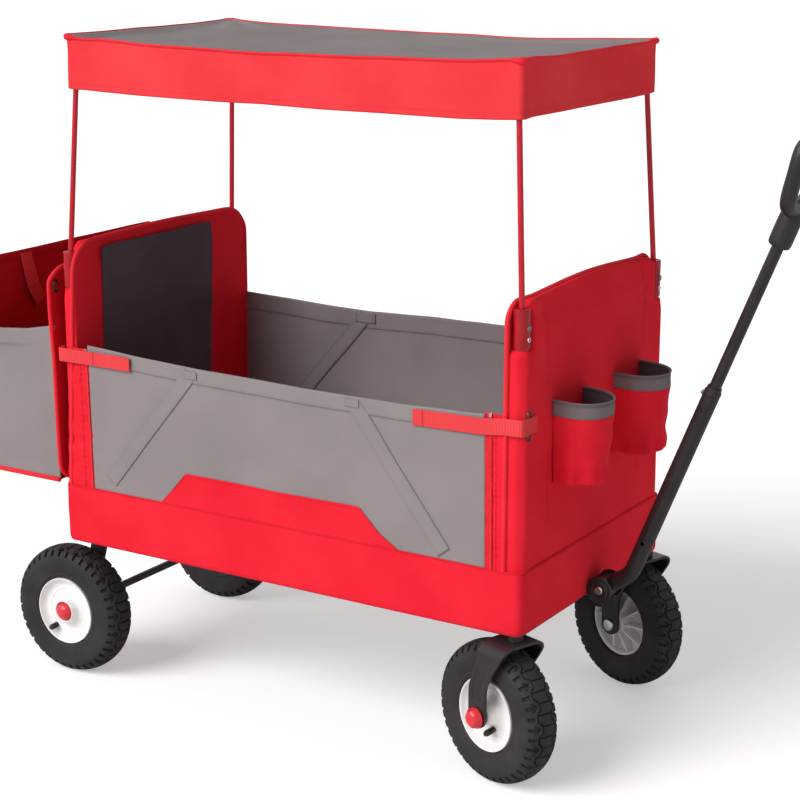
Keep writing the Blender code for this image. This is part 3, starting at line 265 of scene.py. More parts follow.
def turned(profile: np.ndarray, centre: np.ndarray, axis: tuple[float, float, float],
           sides: int) -> np.ndarray:
    """Surface of revolution: each profile row (radius, travel) makes a circle round the axis.

    Args:
        profile: Rows of radius and distance along the axis.
        centre: Point on the axis where the distance is 0.
        axis: Direction of the axis.
        sides: Points round each circle.

    Returns:
        Grid of points: profile rows by sides.
    """
    direction = np.asarray(axis, float) / np.linalg.norm(axis)
    helper = np.array([0.0, 0.0, 1.0]) if abs(direction[2]) < 0.9 else np.array([1.0, 0.0, 0.0])
    first = np.cross(helper, direction)
    first = first / np.linalg.norm(first)
    second = np.cross(direction, first)
    angle = math.tau * np.arange(sides) / sides
    ring = np.cos(angle)[:, None] * first + np.sin(angle)[:, None] * second
    profile = np.asarray(profile, float)
    return np.asarray(centre) + profile[:, :1, None] * ring + profile[:, 1:2, None] * direction


def capped(grid: np.ndarray) -> np.ndarray:
    """The grid with a pole row at the middle of its first and last row, so that both ends are shut."""
    first = np.broadcast_to(grid[0].mean(axis=0), grid[:1].shape)
    last = np.broadcast_to(grid[-1].mean(axis=0), grid[:1].shape)
    return np.concatenate([first, grid, last])


def turned_about(points: np.ndarray, centre: tuple[float, float], angle: float) -> np.ndarray:
    """Points turned about an upright axis through the centre (x, y)."""
    c, s = math.cos(angle), math.sin(angle)
    x, y = points[..., 0] - centre[0], points[..., 1] - centre[1]
    return np.stack([centre[0] + c * x - s * y, centre[1] + s * x + c * y, points[..., 2]], axis=-1)


class Patchwork:
    """Grids of points gathered into one mesh, with texture coordinates in metres and a seam value."""

    def __init__(self) -> None:
        """Starts with nothing in it."""
        self.points: list[np.ndarray] = []
        self.quads: list[np.ndarray] = []
        self.coords: list[np.ndarray] = []
        self.seams: list[np.ndarray] = []
        self.finishes: list[np.ndarray] = []
        self.count = 0

    def add(self, points: np.ndarray, quads: np.ndarray, coords: np.ndarray, seam: np.ndarray | float = 0.0,
            finish: int | np.ndarray = 0) -> None:
        """Adds points and faces as they are.

        Args:
            points: One point per row.
            quads: Four point numbers per face.
            coords: Texture coordinates, four per face.
            seam: Seam value per point, or one value.
            finish: Finish number per face, or one number.
        """
        self.points.append(points.reshape(-1, 3))
        self.quads.append(quads + self.count)
        self.coords.append(coords.reshape(-1, 2))
        self.seams.append(np.broadcast_to(np.asarray(seam, float).ravel(), (len(self.points[-1]),)))
        self.finishes.append(np.broadcast_to(np.asarray(finish, int).ravel(), (len(quads),)))
        self.count += len(self.points[-1])

    def grid(self, points: np.ndarray, wrap: tuple[bool, bool] = (False, False),
             seam: np.ndarray | float = 0.0, finish: int | np.ndarray = 0,
             coords: np.ndarray | None = None) -> None:
        """Adds a grid of points as quads between neighbours.

        Args:
            points: Rows by columns of points.
            wrap: Whether the last row, and the last column, joins the first.
            seam: Seam value per point, or one value.
            finish: Finish number for all faces, or one per row of faces.
            coords: Texture coordinate per point; by default the distances along rows and columns.
        """
        rows, columns = points.shape[:2]
        high, wide = rows - (not wrap[0]), columns - (not wrap[1])
        r, c = np.meshgrid(np.arange(high), np.arange(wide), indexing="ij")
        r1, c1 = (r + 1) % rows, (c + 1) % columns
        corners = [(r, c), (r1, c), (r1, c1), (r, c1)]
        quads = np.stack([a * columns + b for a, b in corners], axis=-1).reshape(-1, 4)
        if coords is None:
            loop = points
            loop = np.concatenate([loop, loop[:1]]) if wrap[0] else loop
            loop = np.concatenate([loop, loop[:, :1]], axis=1) if wrap[1] else loop
            down = np.linalg.norm(np.diff(loop, axis=0), axis=2).mean(axis=1)
            over = np.linalg.norm(np.diff(loop, axis=1), axis=2).max(axis=0)
            u = np.concatenate([[0.0], np.cumsum(down)])
            v = np.concatenate([[0.0], np.cumsum(over)])
            coords = np.stack(np.meshgrid(u, v, indexing="ij"), axis=-1)
            picked = [coords[a, b] for a, b in ((r, c), (r + 1, c), (r + 1, c + 1), (r, c + 1))]
        else:
            picked = [coords[a, b] for a, b in corners]
        if np.ndim(finish) == 1:
            finish = np.broadcast_to(np.asarray(finish)[:, None], (high, wide))
        seam = np.broadcast_to(seam, (rows, columns))
        self.add(points, quads, np.stack(picked, axis=2), seam, finish)

    def blocks(self, centres: np.ndarray, halves: tuple[float, float, float], finish: int = 0) -> None:
        """Adds one box per centre, square to the wagon, with these half sizes."""
        signs = np.array([[i, j, k] for i in (-1, 1) for j in (-1, 1) for k in (-1, 1)], float)
        faces = np.array([[0, 1, 3, 2], [4, 6, 7, 5], [0, 4, 5, 1], [2, 3, 7, 6], [0, 2, 6, 4], [1, 5, 7, 3]])
        points = (centres[:, None] + signs * np.array(halves)).reshape(-1, 3)
        quads = (faces[None] + 8 * np.arange(len(centres))[:, None, None]).reshape(-1, 4)
        square = np.array([[0, 0], [0, 1], [1, 1], [1, 0]], float) * 2 * halves[0]
        self.add(points, quads, np.broadcast_to(square, (len(quads), 4, 2)), 0.0, finish)

    def build(self, name: str, finishes: list["Finish"], crease: float = 38.0,
              facing: tuple[float, float, float] | None = None) -> bpy.types.Object:
        """Makes the object, with doubles merged and faces turned outward.

        Args:
            name: Name of the object.
            finishes: Its finishes, in the order of the finish numbers.
            crease: Edges sharper than this many degrees stay sharp.
            facing: For an open sheet, the direction that its faces point in.

        Returns:
            The new object, in the row frame.
        """
        mesh = bpy.data.meshes.new(name)
        points = np.concatenate(self.points) + SHIFT
        mesh.from_pydata(points.tolist(), [], np.concatenate(self.quads).tolist())
        layer = mesh.uv_layers.new(name=WEAVE)
        layer.data.foreach_set("uv", np.concatenate(self.coords).astype(np.float32).ravel())
        seam = mesh.attributes.new(SEAM, "FLOAT", "POINT")
        seam.data.foreach_set("value", np.concatenate(self.seams).astype(np.float32))
        for finish in finishes:
            mesh.materials.append(finish.material())
        mesh.polygons.foreach_set("material_index", np.concatenate(self.finishes).astype(np.int32))
        work = bmesh.new()
        work.from_mesh(mesh)
        bmesh.ops.remove_doubles(work, verts=work.verts, dist=MERGE_DISTANCE)
        bmesh.ops.dissolve_degenerate(work, dist=SLIVER_LENGTH, edges=work.edges)
        bmesh.ops.recalc_face_normals(work, faces=work.faces)
        if facing is not None:
            towards = Vector(facing)
            if sum(face.normal.dot(towards) * face.calc_area() for face in work.faces) < 0:
                bmesh.ops.reverse_faces(work, faces=work.faces)
        work.to_mesh(mesh)
        work.free()
        mesh.shade_smooth()
        mesh.set_sharp_from_angle(angle=math.radians(crease))
        piece = bpy.data.objects.new(name, mesh)
        bpy.context.scene.collection.objects.link(piece)
        return piece


def thicken(piece: bpy.types.Object, thickness: float, lining: int = 0) -> None:
    """Gives a sheet its thickness, on the side away from its faces.

    Args:
        piece: The sheet.
        thickness: Its thickness in metres.
        lining: Number added to the finish number on the new inner side.
    """
    solid = piece.modifiers.new("thickness", "SOLIDIFY")
    solid.thickness = thickness
    solid.offset = -1.0
    solid.material_offset = lining
    solid.use_even_offset = False


def puffed(piece: bpy.types.Object, held: np.ndarray, pressure: float, cap: float) -> None:
    """Blows a sewn pad up with a cloth simulation, so that its slack cloth wrinkles, and keeps the result.

    Args:
        piece: The closed pad.
        held: Point weight, 1 where the seam keeps its place.
        pressure: Pressure inside it.
        cap: The furthest that a point may move, in metres.
    """
    mesh = piece.data
    before = np.empty(3 * len(mesh.vertices))
    mesh.vertices.foreach_get("co", before)
    group = piece.vertex_groups.new(name="held")
    for index in np.nonzero(held > 0.5)[0].tolist():
        group.add([index], 1.0, "REPLACE")
    cloth = piece.modifiers.new("puff", "CLOTH")
    cloth.settings.quality = 6
    cloth.settings.mass = 0.25
    cloth.settings.use_pressure = True
    cloth.settings.uniform_pressure_force = pressure
    cloth.settings.shrink_min = -0.035
    cloth.settings.vertex_group_mass = "held"
    cloth.settings.effector_weights.gravity = 0.0
    cloth.collision_settings.use_collision = False
    cloth.point_cache.frame_start = 1
    cloth.point_cache.frame_end = PUFF_FRAMES
    for number in range(1, PUFF_FRAMES + 1):
        bpy.context.scene.frame_set(number)
    settled = piece.evaluated_get(bpy.context.evaluated_depsgraph_get()).data
    after = np.empty(3 * len(mesh.vertices))
    settled.vertices.foreach_get("co", after)
    piece.modifiers.remove(cloth)
    bpy.context.scene.frame_set(1)
    moved = (after - before).reshape(-1, 3)
    travel = np.linalg.norm(moved, axis=1, keepdims=True)
    moved = moved * np.minimum(1.0, cap / np.maximum(travel, 1e-9))
    mesh.vertices.foreach_set("co", (before.reshape(-1, 3) + moved).ravel())
    mesh.update()
    LOG.info("%s: puffed, furthest point moved %.1f mm", piece.name, 1000 * float(travel.max()))
    finer = piece.modifiers.new("finer", "SUBSURF")
    finer.levels = 1
    finer.render_levels = 1


def settle(piece: bpy.types.Object, body: str, nodes: tuple[str, ...] = ()) -> bpy.types.Object:
    """Hangs a finished piece on its body and hides the CAD nodes that it stands for.

    Args:
        piece: The finished piece.
        body: Body that it moves with.
        nodes: CAD nodes that it replaces.

    Returns:
        The same piece.
    """
    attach(piece, body)
    if nodes:
        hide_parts(*nodes)
    LOG.info("%s: %d faces on %s", piece.name, len(piece.data.polygons), body)
    return piece


def fold_flat(piece: bpy.types.Object) -> None:
    """Gives a soft piece its own copy of its mesh; it is not shortened.

    Args:
        piece: The piece.
    """
    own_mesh(piece)


# Finishes


def add_node(tree: bpy.types.NodeTree, kind: str, values: dict | None = None,
             **settings: object) -> bpy.types.Node:
    """Adds a node to a tree.

    Args:
        tree: The tree of a material or of the world.
        kind: The node's type.
        values: A number or colour for an input, or a socket to join to it, by input.
        settings: The node's other properties.

    Returns:
        The new node.
    """
    made = tree.nodes.new(kind)
    for key, value in settings.items():
        setattr(made, key, value)
    for key, value in (values or {}).items():
        if isinstance(value, bpy.types.NodeSocket):
            tree.links.new(value, made.inputs[key])
        else:
            made.inputs[key].default_value = value
    return made


class Graph:
    """Small helper that adds and joins the nodes of one material."""

    def __init__(self, name: str) -> None:
        """Makes the material with a Principled shader joined to its output."""
        self.material = bpy.data.materials.new(name)
        self.material.use_nodes = True
        self.tree = self.material.node_tree
        self.tree.nodes.clear()
        self.shader = self.node("ShaderNodeBsdfPrincipled")
        self.node("ShaderNodeOutputMaterial", {"Surface": self.shader.outputs["BSDF"]})
        self.place = self.node("ShaderNodeTexCoord").outputs["Object"]

    def node(self, kind: str, values: dict | None = None, **settings: object) -> bpy.types.Node:
        """Adds a node to the material."""
        return add_node(self.tree, kind, values, **settings)

    def math(self, operation: str, *values: object) -> bpy.types.NodeSocket:
        """A Math node's output."""
        return self.node("ShaderNodeMath", dict(enumerate(values)), operation=operation).outputs[0]

    def noise(self, scale: float, detail: float = 3.0,
              stretch: tuple[float, float, float] | None = None) -> bpy.types.NodeSocket:
        """Noise of this many features per metre, stretched along the axes where asked."""
        place = self.place
        if stretch is not None:
            place = self.node("ShaderNodeMapping", {"Vector": place, "Scale": stretch}).outputs[0]
        made = self.node("ShaderNodeTexNoise", {"Vector": place, "Scale": scale, "Detail": detail})
        return made.outputs["Fac"]

    def between(self, value: bpy.types.NodeSocket, low: float, high: float, start: float = 0.3,
                end: float = 0.7) -> bpy.types.NodeSocket:
        """The value mapped from start..end to low..high."""
        values = {"Value": value, "From Min": start, "From Max": end, "To Min": low, "To Max": high}
        return self.node("ShaderNodeMapRange", values).outputs[0]

    def mixed(self, factor: bpy.types.NodeSocket, first: object, second: object) -> bpy.types.NodeSocket:
        """Two colours mixed by the factor; each is three numbers or a socket."""
        ends = [end if isinstance(end, bpy.types.NodeSocket) else (*end, 1.0) for end in (first, second)]
        values = {0: factor, 6: ends[0], 7: ends[1]}
        return self.node("ShaderNodeMix", values, data_type="RGBA").outputs[2]

    def bump(self, height: bpy.types.NodeSocket, distance: float, strength: float,
             below: bpy.types.NodeSocket | None = None) -> bpy.types.NodeSocket:
        """A Bump node's normal, on top of another one where given."""
        values = {"Height": height, "Distance": distance, "Strength": strength}
        if below is not None:
            values["Normal"] = below
        return self.node("ShaderNodeBump", values).outputs[0]

    def finish(self, colour: bpy.types.NodeSocket, roughness: bpy.types.NodeSocket,
               normal: bpy.types.NodeSocket, **numbers: float) -> bpy.types.Material:
        """Joins the three sockets to the shader and sets its other numbers by name."""
        for key, socket in (("Base Color", colour), ("Roughness", roughness), ("Normal", normal)):
            self.tree.links.new(socket, self.shader.inputs[key])
        for key, value in numbers.items():
            self.shader.inputs[key.replace("_", " ")].default_value = value
        return self.material


Colour = tuple[float, float, float]


@dataclass(frozen=True)
class Finish:
    """A finish: its name, colour, the shade its mottling goes to, and its roughness."""

    name: str
    colour: Colour
    shade: Colour
    roughness: float

    def material(self) -> bpy.types.Material:
        """The finish's material, made once."""
        return bpy.data.materials.get(self.name) or self.make(Graph(self.name))

    def make(self, graph: Graph) -> bpy.types.Material:
        """Builds the material's nodes."""
        raise NotImplementedError


class Weave(Enum):
    """How a fabric's threads run."""

    OXFORD = "oxford"
    WEBBING = "webbing"


@dataclass(frozen=True)
class Cloth(Finish):
    """Woven fabric: threads as crossed sine waves in the texture coordinates, fibres and stains as noise."""

    weave: Weave = Weave.OXFORD
    pitch: float = 0.0012
    depth: float = 0.00012
    sheen: float = 0.02

    def make(self, graph: Graph) -> bpy.types.Material:
        """Builds the weave, the mottling, the darker stitched seams and, for webbing, painted shade between
        the ribs.
        """
        coords = graph.node("ShaderNodeUVMap", uv_map=WEAVE).outputs[0]
        split = graph.node("ShaderNodeSeparateXYZ", {"Vector": coords})
        rate = math.tau / self.pitch
        warp = graph.math("SINE", graph.math("MULTIPLY", split.outputs[0], rate))
        weft = graph.math("SINE", graph.math("MULTIPLY", split.outputs[1], rate))
        if self.weave is Weave.WEBBING:
            ribs = graph.math("SINE", graph.math("MULTIPLY", split.outputs[0], rate * 0.62))
            threads = graph.math("MULTIPLY_ADD", ribs, 0.9, graph.math("ABSOLUTE", weft))
        else:
            threads = graph.math("MULTIPLY", warp, weft)
        seam = graph.node("ShaderNodeAttribute", attribute_name=SEAM, attribute_type="GEOMETRY")
        stitched = seam.outputs["Fac"]
        blotches = graph.between(graph.noise(9.0, 4.0), 0.0, 1.0)
        colour = graph.mixed(blotches, self.colour, self.shade)
        # Painted shade: on webbing the colour falls to the shade colour in the troughs between the ribs.
        if self.weave is Weave.WEBBING:
            colour = graph.mixed(graph.between(ribs, 0.0, 0.8, -1.0, 1.0), self.shade, colour)
        fibres = graph.between(graph.noise(1400.0, 2.0), 0.0, 0.22)
        colour = graph.mixed(fibres, colour, self.shade)
        dark = tuple(channel * 0.30 for channel in self.shade)
        colour = graph.mixed(graph.math("MULTIPLY", stitched, 0.85), colour, dark)
        roughness = graph.between(graph.noise(60.0), self.roughness - 0.06, self.roughness + 0.06)
        normal = graph.bump(graph.noise(35.0, 3.0), 0.0012, 0.10)
        normal = graph.bump(threads, self.depth, 0.45, normal)
        normal = graph.bump(graph.math("MULTIPLY", stitched, -1.0), 0.0008, 0.7, normal)
        return graph.finish(colour, roughness, normal, Specular_IOR_Level=0.04, Sheen_Weight=self.sheen,
                            Sheen_Roughness=0.5)


@dataclass(frozen=True)
class Paint(Finish):
    """Painted or powder-coated metal: fine orange peel, a thin clear coat and dust."""

    coat: float = 0.25
    grain: float = 700.0

    def make(self, graph: Graph) -> bpy.types.Material:
        """Builds the peel, the uneven gloss and the faint dust."""
        dust = graph.between(graph.noise(26.0, 5.0), 0.0, 1.0, 0.42, 0.72)
        colour = graph.mixed(dust, self.colour, self.shade)
        roughness = graph.between(graph.noise(85.0), self.roughness - 0.07, self.roughness + 0.10)
        normal = graph.bump(graph.noise(self.grain, 2.0), 0.00012, 0.30)
        return graph.finish(colour, roughness, normal, Coat_Weight=self.coat, Coat_Roughness=0.18,
                            Specular_IOR_Level=0.30)


@dataclass(frozen=True)
class Plastic(Finish):
    """Moulded plastic: spark-eroded grain, faint flow marks and slightly uneven gloss."""

    grain: float = 1500.0
    specular: float = 0.4

    def make(self, graph: Graph) -> bpy.types.Material:
        """Builds the grain and the flow marks."""
        flow = graph.between(graph.noise(14.0, 3.0, (1.0, 1.0, 2.6)), 0.0, 1.0)
        colour = graph.mixed(flow, self.colour, self.shade)
        cells = graph.node("ShaderNodeTexVoronoi", {"Vector": graph.place, "Scale": self.grain})
        roughness = graph.between(graph.noise(120.0), self.roughness - 0.05, self.roughness + 0.08)
        normal = graph.bump(cells.outputs["Distance"], 0.00008, 0.35)
        normal = graph.bump(graph.noise(40.0), 0.0004, 0.05, normal)
        return graph.finish(colour, roughness, normal, Specular_IOR_Level=self.specular)


@dataclass(frozen=True)
class Rubber(Finish):
    """Moulded rubber: matt, with bloom in patches and a fine uneven skin."""

    def make(self, graph: Graph) -> bpy.types.Material:
        """Builds the bloom and the skin."""
        bloom = graph.between(graph.noise(22.0, 6.0), 0.0, 1.0, 0.38, 0.70)
        colour = graph.mixed(bloom, self.colour, self.shade)
        roughness = graph.between(graph.noise(70.0), self.roughness - 0.08, self.roughness + 0.06)
        normal = graph.bump(graph.noise(420.0, 4.0), 0.0003, 0.25)
        return graph.finish(colour, roughness, normal, Specular_IOR_Level=0.22)


@dataclass(frozen=True)
class Steel(Finish):
    """Zinc-plated steel: spangle in the colour and fine drawn lines in the gloss."""

    def make(self, graph: Graph) -> bpy.types.Material:
        """Builds the spangle and the drawn lines."""
        cells = graph.node("ShaderNodeTexVoronoi", {"Vector": graph.place, "Scale": 260.0})
        spangle = graph.between(cells.outputs["Distance"], 0.0, 1.0, 0.1, 0.8)
        colour = graph.mixed(spangle, self.colour, self.shade)
        lines = graph.noise(180.0, 4.0, (1.0, 14.0, 14.0))
        roughness = graph.between(lines, self.roughness - 0.08, self.roughness + 0.12)
        normal = graph.bump(lines, 0.00006, 0.20)
        return graph.finish(colour, roughness, normal, Metallic=1.0)


RED_CLOTH = Cloth("red woven cloth", (0.85, 0.023, 0.041), (0.75, 0.014, 0.030), 0.84)
# Painted sheen: the valance's red is the cloth's own, but its raised green and blue copy the whitish sheen of
# the lit near side, so the shaded front of the valance comes out too pale.
VALANCE_CLOTH_WITH_PAINTED_SHEEN = Cloth("red valance cloth with painted sheen", (0.85, 0.060, 0.068), (0.78, 0.038, 0.048), 0.82)
# Painted shade: a darker copy of the red cloth for the bag's back panel, outer panel and floor, which are
# seen only in shadow.
RED_CLOTH_WITH_PAINTED_SHADE = Cloth("red cloth darkened with painted shade", (0.60, 0.010, 0.026), (0.50, 0.008, 0.020), 0.86)
# Its shade colour is also used as painted shade in the troughs between the ribs.
RED_WEBBING = Cloth("red webbing", (0.88, 0.088, 0.092), (0.74, 0.052, 0.060), 0.80, Weave.WEBBING,
                    0.0026, 0.0004)
RED_PIPING = Cloth("red piping", (0.88, 0.036, 0.052), (0.78, 0.022, 0.038), 0.66, Weave.OXFORD, 0.0010)
GREY_CLOTH = Cloth("grey woven cloth", (0.290, 0.254, 0.256), (0.250, 0.219, 0.222), 0.86)
CHARCOAL_CLOTH = Cloth("charcoal padded cloth", (0.118, 0.088, 0.104), (0.090, 0.066, 0.080), 0.88)
BAND_CLOTH = Cloth("dark grey band cloth", (0.225, 0.190, 0.196), (0.180, 0.154, 0.160), 0.84)
SLEEVE_PAINT = Paint("deep red powder coat", (0.40, 0.004, 0.012), (0.33, 0.003, 0.010), 0.40, 0.08)
RED_PAINT = Paint("red powder coat", (0.56, 0.006, 0.018), (0.47, 0.005, 0.014), 0.36, 0.12)
BLACK_PAINT = Paint("black powder coat", (0.016, 0.012, 0.013), (0.025, 0.020, 0.021), 0.42, 0.08)
BLACK_PLASTIC = Plastic("black moulded plastic", (0.014, 0.011, 0.012), (0.021, 0.017, 0.018), 0.46)
GREY_PLASTIC = Plastic("grey moulded plastic", (0.17, 0.16, 0.165), (0.14, 0.13, 0.135), 0.48)
WHITE_PLASTIC = Plastic("white moulded plastic", (0.84, 0.82, 0.81), (0.78, 0.76, 0.75), 0.40)
RED_PLASTIC = Plastic("red moulded plastic", (0.78, 0.030, 0.045), (0.66, 0.018, 0.030), 0.30, 1100.0, 0.5)
TYRE_RUBBER = Rubber("black tyre rubber", (0.020, 0.017, 0.018), (0.034, 0.029, 0.031), 0.66)
ZINC = Steel("zinc-plated steel", (0.62, 0.61, 0.60), (0.48, 0.47, 0.47), 0.32)
DARK_ZINC = Steel("dark plated steel", (0.11, 0.10, 0.10), (0.07, 0.06, 0.06), 0.38)

SLOT_FINISHES: dict[str, Finish] = {
    "red_fabric": RED_CLOTH,
    "grey_fabric": GREY_CLOTH,
    "charcoal_fabric": CHARCOAL_CLOTH,
    "red_metal": RED_PAINT,
    "black_metal": BLACK_PAINT,
    "black_plastic": BLACK_PLASTIC,
    "grey_plastic": GREY_PLASTIC,
    "white_plastic": WHITE_PLASTIC,
    "red_plastic": RED_PLASTIC,
    "rubber": TYRE_RUBBER,
    "steel": ZINC,
}


# Body


@dataclass
class Skirt:
    """The red cloth band round the foot of the tub, turned under at the bottom."""

    half_length: float = 0.3928
    half_width: float = 0.2175
    bottom: float = SKIRT_BOTTOM
    top: float = 0.3117
    corner: float = 0.0120
    least_corner: float = 0.0020
    thickness: float = 0.0018
    flat_height: float = 0.125

    def build(self) -> None:
        """Carries the band's section round a rounded rectangle; low waves stand the cloth out and in."""
        top, foot = self.top, self.bottom
        section = spline(np.array([
            [0.0075, top - 0.0045], [0.0040, top - 0.0006], [0.0006, top - 0.0004], [0.0, top - 0.0040],
            [0.0, top - 0.020], [0.0, 0.5 * (top + foot)], [0.0, foot + 0.020], [0.0008, foot + 0.0065],
            [0.0042, foot + 0.0010], [0.0100, foot], [0.0200, foot + 0.0004], [0.0340, foot + 0.0012]]), 46)
        rings = [rounded_rectangle(self.half_length - inset, self.half_width - inset,
                                   max(self.corner - inset, self.least_corner))
                 for inset in section[:, 0]]
        flat = np.stack(rings)
        height = np.broadcast_to(section[:, 1][:, None], flat.shape[:2])
        length = travelled(rings[0])
        along = np.broadcast_to(length, height.shape)
        outward = 0.0011 * waves(along, height, 11, 0.30) * bell(height, 0.262, 0.030)
        slack = 0.0008 * np.sin(along * 21.0 + 40.0 * height) * bell(height, 0.238, 0.016)
        direction = flat / np.linalg.norm(flat, axis=2, keepdims=True)
        flat = flat + direction * (outward + slack)[..., None]
        seam = 0.45 * bell(height, top - 0.0014, 0.0010) * (section[:, 0] < 0.006)[:, None]
        work = Patchwork()
        work.grid(np.concatenate([flat, height[..., None]], axis=2), (False, True), seam)
        piece = work.build("skirt_cloth", [RED_CLOTH])
        thicken(piece, self.thickness)
        settle(piece, "rear_end", ("skirt",))
        fold_flat(piece)


@dataclass
class SideCloth:
    """A grey side of the tub: a hemmed sheet between the two end walls, slack enough to dip at the top."""

    name: str
    body: str
    node: str
    plane: float
    bottom: float
    left: tuple[float, float]
    right: tuple[float, float]
    top: list[tuple[float, float]]
    hem: float
    span: tuple[float, float]
    seed: int
    band_lines: list[tuple[tuple[float, float], tuple[float, float]]]
    fold: float = 0.0016
    thickness: float = 0.0018
    slack_from: float = 0.312
    slack_over: float = 0.05
    band_half: float = 0.0115
    band_rise: float = 0.0018
    band_stitch: float = 0.55
    band_thickness: float = 0.0007
    tab: tuple[float, float] = (0.0190, 0.0150)

    def drape(self, x: np.ndarray, z: np.ndarray, hold: np.ndarray | float = 1.0) -> np.ndarray:
        """Distance across the wagon: the plane less soft waves.

        Args:
            x: Distance along the wagon.
            z: Height; the waves fade out at the foot.
            hold: 1 where the cloth is free, falling to 0 at its held ends.

        Returns:
            The sheet's y.
        """
        free = hold * smooth((z - self.slack_from) / self.slack_over)
        return self.plane - self.fold * waves(x, z * 0.6, self.seed, 0.24) * free

    def surface(self) -> tuple[np.ndarray, np.ndarray]:
        """The sheet: x runs between the slanted ends, z down from the dipping top.

        Returns:
            Grid of points, and the seam value of each.
        """
        hem_edge = self.hem + np.array([-0.0008, 0.0, 0.0008])
        hem = np.concatenate([np.linspace(0.0, self.hem - 0.0020, 7), hem_edge])
        height = self.top[0][1] - self.bottom
        share = np.linspace(0.0, 1.0, 61)[1:, None]
        row = np.concatenate([hem[:, None] / height, hem[-1] / height + (1.0 - hem[-1] / height) * share])
        u = np.linspace(0.0, 1.0, 190)[None]
        left = self.left[1] + (self.left[0] - self.left[1]) * row
        right = self.right[1] + (self.right[0] - self.right[1]) * row
        x = left + (right - left) * u
        top = ramp(x, self.top)
        free = hem[-1] + (top[len(hem):] - self.bottom - hem[-1]) * share
        below = np.concatenate([np.broadcast_to(hem[:, None], (len(hem), free.shape[1])), free])
        z = top - below
        y = self.drape(x, z, smooth(u / 0.05) * smooth((1.0 - u) / 0.05))
        y = y - 0.0009 * smooth((self.hem - below) / 0.002)
        y = y - 0.0004 * np.sin(x * 260.0) * bell(below, self.hem, 0.006)
        return np.stack([x, y, z], axis=-1), 0.60 * bell(below, self.hem, 0.0007)

    def bands(self) -> bpy.types.Object:
        """Two slanted bands stitched along each edge, with a small tab over each on the hem."""
        work = Patchwork()
        across = np.array([[-1.0, -0.90, -0.82, -0.74, -0.3, 0.3, 0.74, 0.82, 0.90, 1.0]])
        stitch = self.band_stitch * bell(np.abs(across), 0.82, 0.05)
        travel = np.linspace(0.0, 1.0, 70)[:, None]
        for low, high in self.band_lines:
            line = np.array(high) - np.array(low)
            unit = line / np.linalg.norm(line)
            x = low[0] + line[0] * travel - unit[1] * self.band_half * across
            z = low[1] + line[1] * travel + unit[0] * self.band_half * across
            work.grid(np.stack([x, self.drape(x, z) - self.band_rise, z], axis=-1), seam=stitch)
            x = high[0] + self.tab[0] * across + 0.0 * travel[:12]
            z = high[1] + self.tab[1] * (travel[:12] / travel[11] - 0.75) + 0.0 * across
            work.grid(np.stack([x, self.drape(x, z) - self.band_rise - 0.0010, z], axis=-1), seam=stitch)
        piece = work.build(self.name + "_bands", [GREY_CLOTH], facing=(0.0, -1.0, 0.0))
        thicken(piece, self.band_thickness)
        settle(piece, self.body)
        fold_flat(piece)
        return piece

    def build(self) -> None:
        points, seam = self.surface()
        work = Patchwork()
        work.grid(points, seam=seam)
        piece = work.build(self.name, [GREY_CLOTH], facing=(0.0, -1.0, 0.0))
        thicken(piece, self.thickness)
        settle(piece, self.body, (self.node,))
        fold_flat(piece)
        self.bands()


@dataclass
class SidePatch:
    """The bare red patch sewn to the foot of the near side, wider at its foot than at its top."""

    cloth: SideCloth
    bottom: float = 0.3085
    top: float = 0.3622
    stand: float = 0.0014
    corner: float = 0.0080
    thickness: float = 0.0010

    def build(self) -> None:
        """Lays a grid between a straight left edge and a right edge that flares towards its foot."""
        v = np.concatenate([[0.0, 0.050, 0.065, 0.080], np.linspace(0.11, 1.0, 26)])[:, None]
        u = np.linspace(0.0, 1.0, 120)[None]
        left = ramp(v, [(0.0, -0.2110), (1.0, -0.1660)])
        flare = spline(np.array([[0.0, 0.2080], [0.28, 0.1860], [0.62, 0.1620], [1.0, 0.1410]]), 60)
        right = np.interp(v, flare[:, 0], flare[:, 1])
        x = left + (right - left) * u
        edge = np.minimum(u, 1.0 - u) * (right - left)
        past = np.maximum(self.corner - edge, 0.0)
        dip = self.corner - np.sqrt(np.maximum(self.corner**2 - past**2, 0.0))
        z = self.bottom + (self.top - dip - self.bottom) * v
        y = self.cloth.drape(x, z) - self.stand
        border = np.minimum(edge, (1.0 - v) * (self.top - self.bottom))
        seam = np.maximum(0.30 * bell(border, 0.0034, 0.0009), 0.35 * bell(z, self.bottom + 0.0035, 0.0006))
        work = Patchwork()
        work.grid(np.stack([x, y, z], axis=-1), seam=seam)
        piece = work.build("near_side_patch", [RED_CLOTH], facing=(0.0, -1.0, 0.0))
        thicken(piece, self.thickness)
        settle(piece, "near_side")
        fold_flat(piece)


def leant(lean: float, y: np.ndarray, z: np.ndarray) -> np.ndarray:
    """How far the middle of an end wall gives way outward lower down."""
    return lean * smooth((0.640 - z) / 0.30) * smooth((0.188 - np.abs(y)) / 0.03)


